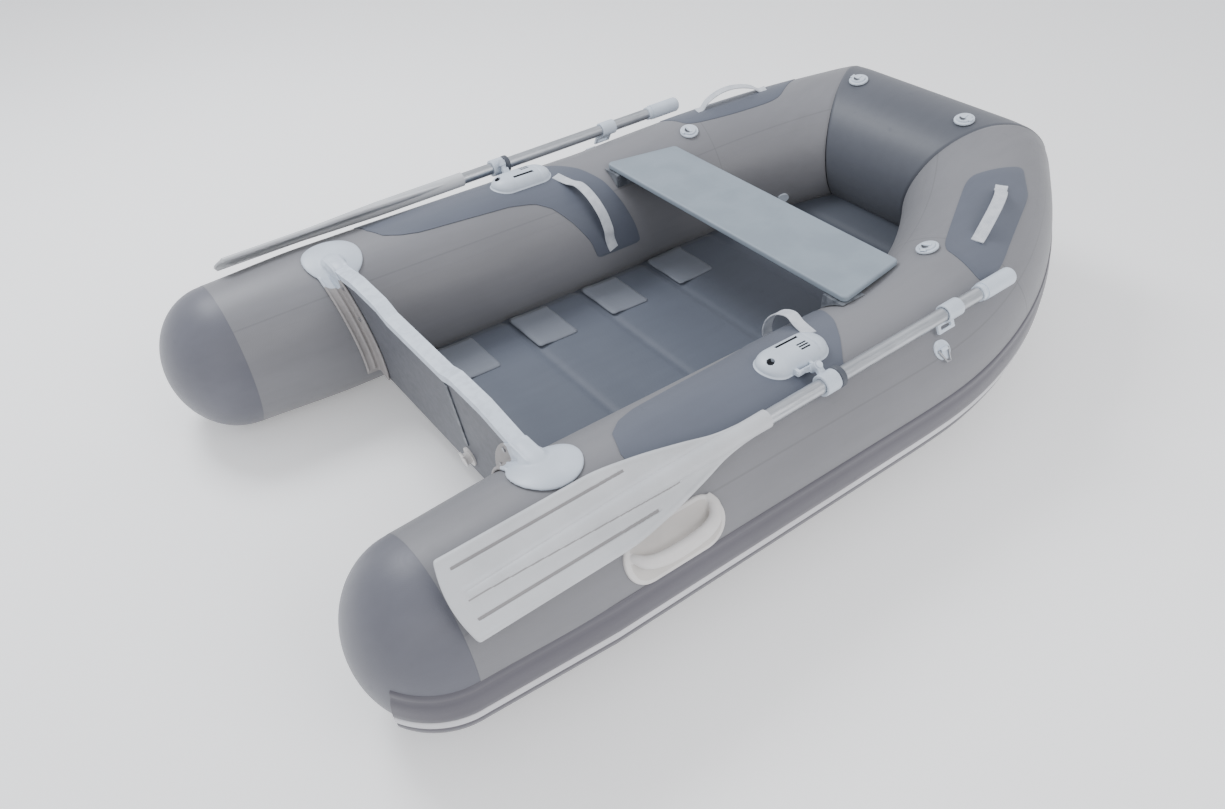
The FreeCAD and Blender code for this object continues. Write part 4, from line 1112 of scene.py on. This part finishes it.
def pad_dome():
    """Low dome over the bracket's round pad, following the tube."""
    rises = [(share, 0.001) for share in (0.001, 0.5, 1.0)]
    rises += [(share, 0.0035 + 0.0085 * (1 - share ** 2) ** 0.55)
              for share in (1.0, 0.985, 0.95, 0.9, 0.8, 0.65, 0.45, 0.2, 0.001)]
    rings = []
    for share, rise in rises:
        reach = PAD_R * share
        rings.append([skin(PAD_X + reach * cosd(t),
                           PAD_ANGLE + math.degrees(reach * sind(t) / TUBE_R), rise)
                      for t in np.arange(64) * 360 / 64])
    return grid_mesh("pad", rings, wrap=True)


def brackets():
    """The CAD brackets with a domed pad and a round end to the cap, as one moulding."""
    axes = ((1, 0, 0), (0, 1, 0), (0, 0, 1))
    pad = np.array((PAD_X, SIDE_Y + TUBE_R * cosd(PAD_ANGLE), AXIS_Z + TUBE_R * sind(PAD_ANGLE)))
    lumps = (0.372, 0.3375, (0.0225, 0.036, 0.0150)), (0.395, 0.3400, (0.026, 0.030, 0.0120))
    for side, turn in SIDES:
        node = NODES[side + "_transom_holder"].data.copy()
        low, high = sorted((turn((0, 0.30, 0))[1], turn((0, 0.43, 0))[1]))
        node = cut(node, [box_mesh((-0.70, low, 0.3505), (-0.52, high, 0.40))])
        dome = turned(pad_dome(), turn)
        ends = [blob_mesh(turn((-0.6115, y, z)), axes, size) for y, z, size in lumps]
        mesh = softened(joined([outward(m) for m in [node, dome] + ends]), 0.0016, 16)
        spot = turn(pad)

        def grey(at):
            return np.linalg.norm(np.asarray(at) - spot) > 0.082 and at[2] < 0.333

        piece(side + "_transom_bracket", mesh, "white_plastic",
              replaces=[side + "_transom_holder"], sharp=80, second=("bracket_grey", grey))


# --- rowlock base ---
BASE_X = (-0.165, -0.007)
BASE_Y = (0.424, 0.498)
DOME_TOP = 0.367


def rowlock_bases():
    """Domed housing with a round socket at its aft end, a slot on top and a seam round its nose."""
    x0, x1 = BASE_X
    y0, y1 = BASE_Y
    radius = (y1 - y0) / 2
    middle = np.array(((x0 + x1) / 2, (y0 + y1) / 2))

    def nose(x, low):
        return [(x + radius * cosd(a), middle[1] + radius * sind(a))
                for a in np.linspace(low, low + 180, 45)]

    straight = np.linspace(x0 + radius, x1 - radius, 30)[1:-1]
    outline = np.array(nose(x0 + radius, 90) + [(x, y0) for x in straight]
                       + nose(x1 - radius, -90) + [(x, y1) for x in straight[::-1]])
    spine = np.clip(outline[:, 0], x0 + radius, x1 - radius)
    inner = np.stack([spine * 0.55 + middle[0] * 0.45, np.full(len(spine), middle[1])], 1)
    rings = [[(p[0], p[1], AXIS_Z + TUBE_R * 0.94) for p in outline]]
    steps = [(1.06, -0.001), (1.055, 0.0022), (1.02, 0.0032), (1.0, 0.0045)]
    steps += [(sind(a), None) for a in np.linspace(86, 2, 34)]
    for share, flat in steps:
        row = []
        for p in inner + (outline - inner) * share:
            ground = AXIS_Z + math.sqrt(TUBE_R ** 2 - (p[1] - SIDE_Y) ** 2)
            if flat is not None:
                z = ground + flat
            else:
                z = ground + 0.0045 + (DOME_TOP - ground - 0.0045) * (1 - share ** 2.5) ** 0.5
                z -= 0.0024 * bell(p[0] - (x1 - 0.036), 0.0018)
            row.append((p[0], p[1], z))
        rings.append(row)
    shape = closed_mesh("base", np.array(rings))
    hole = np.array((x0 + 0.021, middle[1] + 0.006)), 0.0078
    slot = (x0 + 0.050, middle[1] - 0.019), (x0 + 0.106, middle[1] - 0.0125)
    bars = [((x0 + 0.084, middle[1] + 0.003 + 0.0062 * i),
             (x0 + 0.107, middle[1] + 0.0063 + 0.0062 * i)) for i in range(3)]
    lean = np.array((-0.010, 0.0, 0.030))
    start = np.array((*hole[0], 0.352))
    cutters = [rod_mesh(start, start + lean, hole[1])]
    cutters += [box_mesh((*low, 0.352), (*high, 0.38)) for low, high in [slot] + bars]
    shape = cut(shape, cutters)

    # Painted shade: faces inside the cut socket, slot and bar gaps take the dark shade material;
    # the holes are real, their darkness is painted.
    def inside(at):
        at = np.array((at[0], abs(at[1]), at[2]))
        rise = (at[2] - start[2]) / lean[2]
        if np.linalg.norm(at[:2] - (start + lean * rise)[:2]) < hole[1] + 0.0002:
            return True
        return at[2] > 0.35 and any(low[0] - 0.0002 < at[0] < high[0] + 0.0002
                                    and low[1] - 0.0002 < at[1] < high[1] + 0.0002
                                    for low, high in [slot] + bars)

    for side, turn in SIDES:
        mesh = joined([turned(shape, turn)] + ear_meshes(turn))
        piece(side + "_rowlock_dome", mesh, "white_plastic",
              replaces=[side + "_rowlock_base"], sharp=38, second=("dark_painted_shade", inside))


def box_mesh(low, high):
    """A box between two corners."""
    (a, b, c), (d, e, f) = low, high
    return closed_mesh("box", [[(x, b, c), (x, e, c), (x, e, f), (x, b, f)] for x in (a, d)])


def ear_meshes(turn):
    """The two lugs that carry the yoke's pin."""
    meshes = []
    for side in (-1, 1):
        x = -0.095 + side * 0.0185
        profile = [(0.484, 0.3369), (0.507, 0.3369)]
        profile += [(0.507 + 0.0056 * cosd(a), 0.3425 + 0.0056 * sind(a))
                    for a in np.linspace(-70, 70, 9)]
        profile += [(0.507, 0.3481), (0.484, 0.3481)]
        rings = [[(x + dx, y, z) for y, z in profile] for dx in (-0.0035, 0.0035)]
        meshes.append(closed_mesh("ear", turn(rings)))
    return meshes


# --- materials on the CAD nodes that stay ---
def paint_nodes():
    special = {"transom_cap": "cap_plastic"}
    for name, obj in NODES.items():
        material = MATERIALS[special.get(name, SLOT_OF[name])]
        if not obj.material_slots:
            obj.data.materials.append(material)
        for entry in obj.material_slots:
            entry.material = material


# --- studio ---
# Name, place, size in metres and power in watts.
LAMPS = (("key", (-0.9, 2.0, 3.0), 1.3, 92), ("front", (-3.0, -2.4, 2.4), 2.4, 28),
         ("side", (0.4, -3.2, 2.6), 2.4, 52), ("bow", (2.8, 0.6, 2.6), 2.0, 8))
COOL, WARM = (0.93, 0.96, 1.0), (1.0, 0.985, 0.97)
def studio():
    """A pale floor, an even sky and four soft lamps that face the hull."""
    mesh = grid_mesh("floor", [[(-9, -9, 0), (9, -9, 0)], [(-9, 9, 0), (9, 9, 0)]])
    m = Material("studio_floor")
    tone = m.mix(m.step(m.noise(0.7, 3.0), 0.3, 0.7), rgb(250, 250, 250), rgb(252, 252, 252))
    m.shader.inputs["Emission Color"].default_value = (1, 1, 1, 1)
    m.shader.inputs["Emission Strength"].default_value = 0.25
    m.finish(tone, 0.9)
    floor = piece("studio_floor", mesh, "studio_floor", ride=False)
    floor.location.z = -0.0005
    world = bpy.data.worlds.new("studio")
    bpy.context.scene.world = world
    world.use_nodes = True
    back = world.node_tree.nodes["Background"]
    back.inputs[0].default_value = (0.93, 0.95, 1.0, 1.0)
    back.inputs[1].default_value = 0.95
    for name, at, size, power in LAMPS:
        lamp = bpy.data.lights.new(name, "AREA")
        lamp.shape = "SQUARE"
        lamp.size = size
        lamp.energy = power
        lamp.color = COOL if name == "key" else WARM
        obj = placed(name, lamp)
        obj.location = at
        obj.rotation_mode = "QUATERNION"
        obj.rotation_quaternion = (Vector(at) - Vector((0, 0, 0.2))).to_track_quat("Z", "Y")


def camera():
    """Three-quarter view from the stern on the starboard side, from above."""
    yaw, pitch, roll = 0.9389, -0.6932, -0.0242
    level_share = math.cos(pitch)
    forward = Vector((level_share * math.cos(yaw), level_share * math.sin(yaw), math.sin(pitch)))
    level = Vector((math.sin(yaw), -math.cos(yaw), 0))
    top = level.cross(forward)
    right = math.cos(roll) * level + math.sin(roll) * top
    up = -math.sin(roll) * level + math.cos(roll) * top
    data = bpy.data.cameras.new("camera")
    data.sensor_width = 36.0
    data.lens = 933.7 / 1225 * 36.0
    data.clip_start = 0.05
    obj = placed("camera", data)
    obj.matrix_world = Matrix((right, up, -forward)).transposed().to_4x4()
    obj.location = (-1.1684, -1.3771, 1.3815)
    bpy.context.scene.camera = obj


make_materials()
camera()
studio()
paint_nodes()
tube_covers()
valve_shadow_crescents()
cone_covers()
strakes()
floor_covers()
floor_flaps()
patches()
webbing_handles()
lifting_handles()
blades()
rowlock_bases()
brackets()
for SIDE, _ in SIDES:
    melted(SIDE + "_oar_collar", SIDE + "_collar_clamp", "cap_plastic", SIDE + "_collar")
    melted(SIDE + "_oar_clip", SIDE + "_clip_band", "white_plastic", SIDE + "_clip")
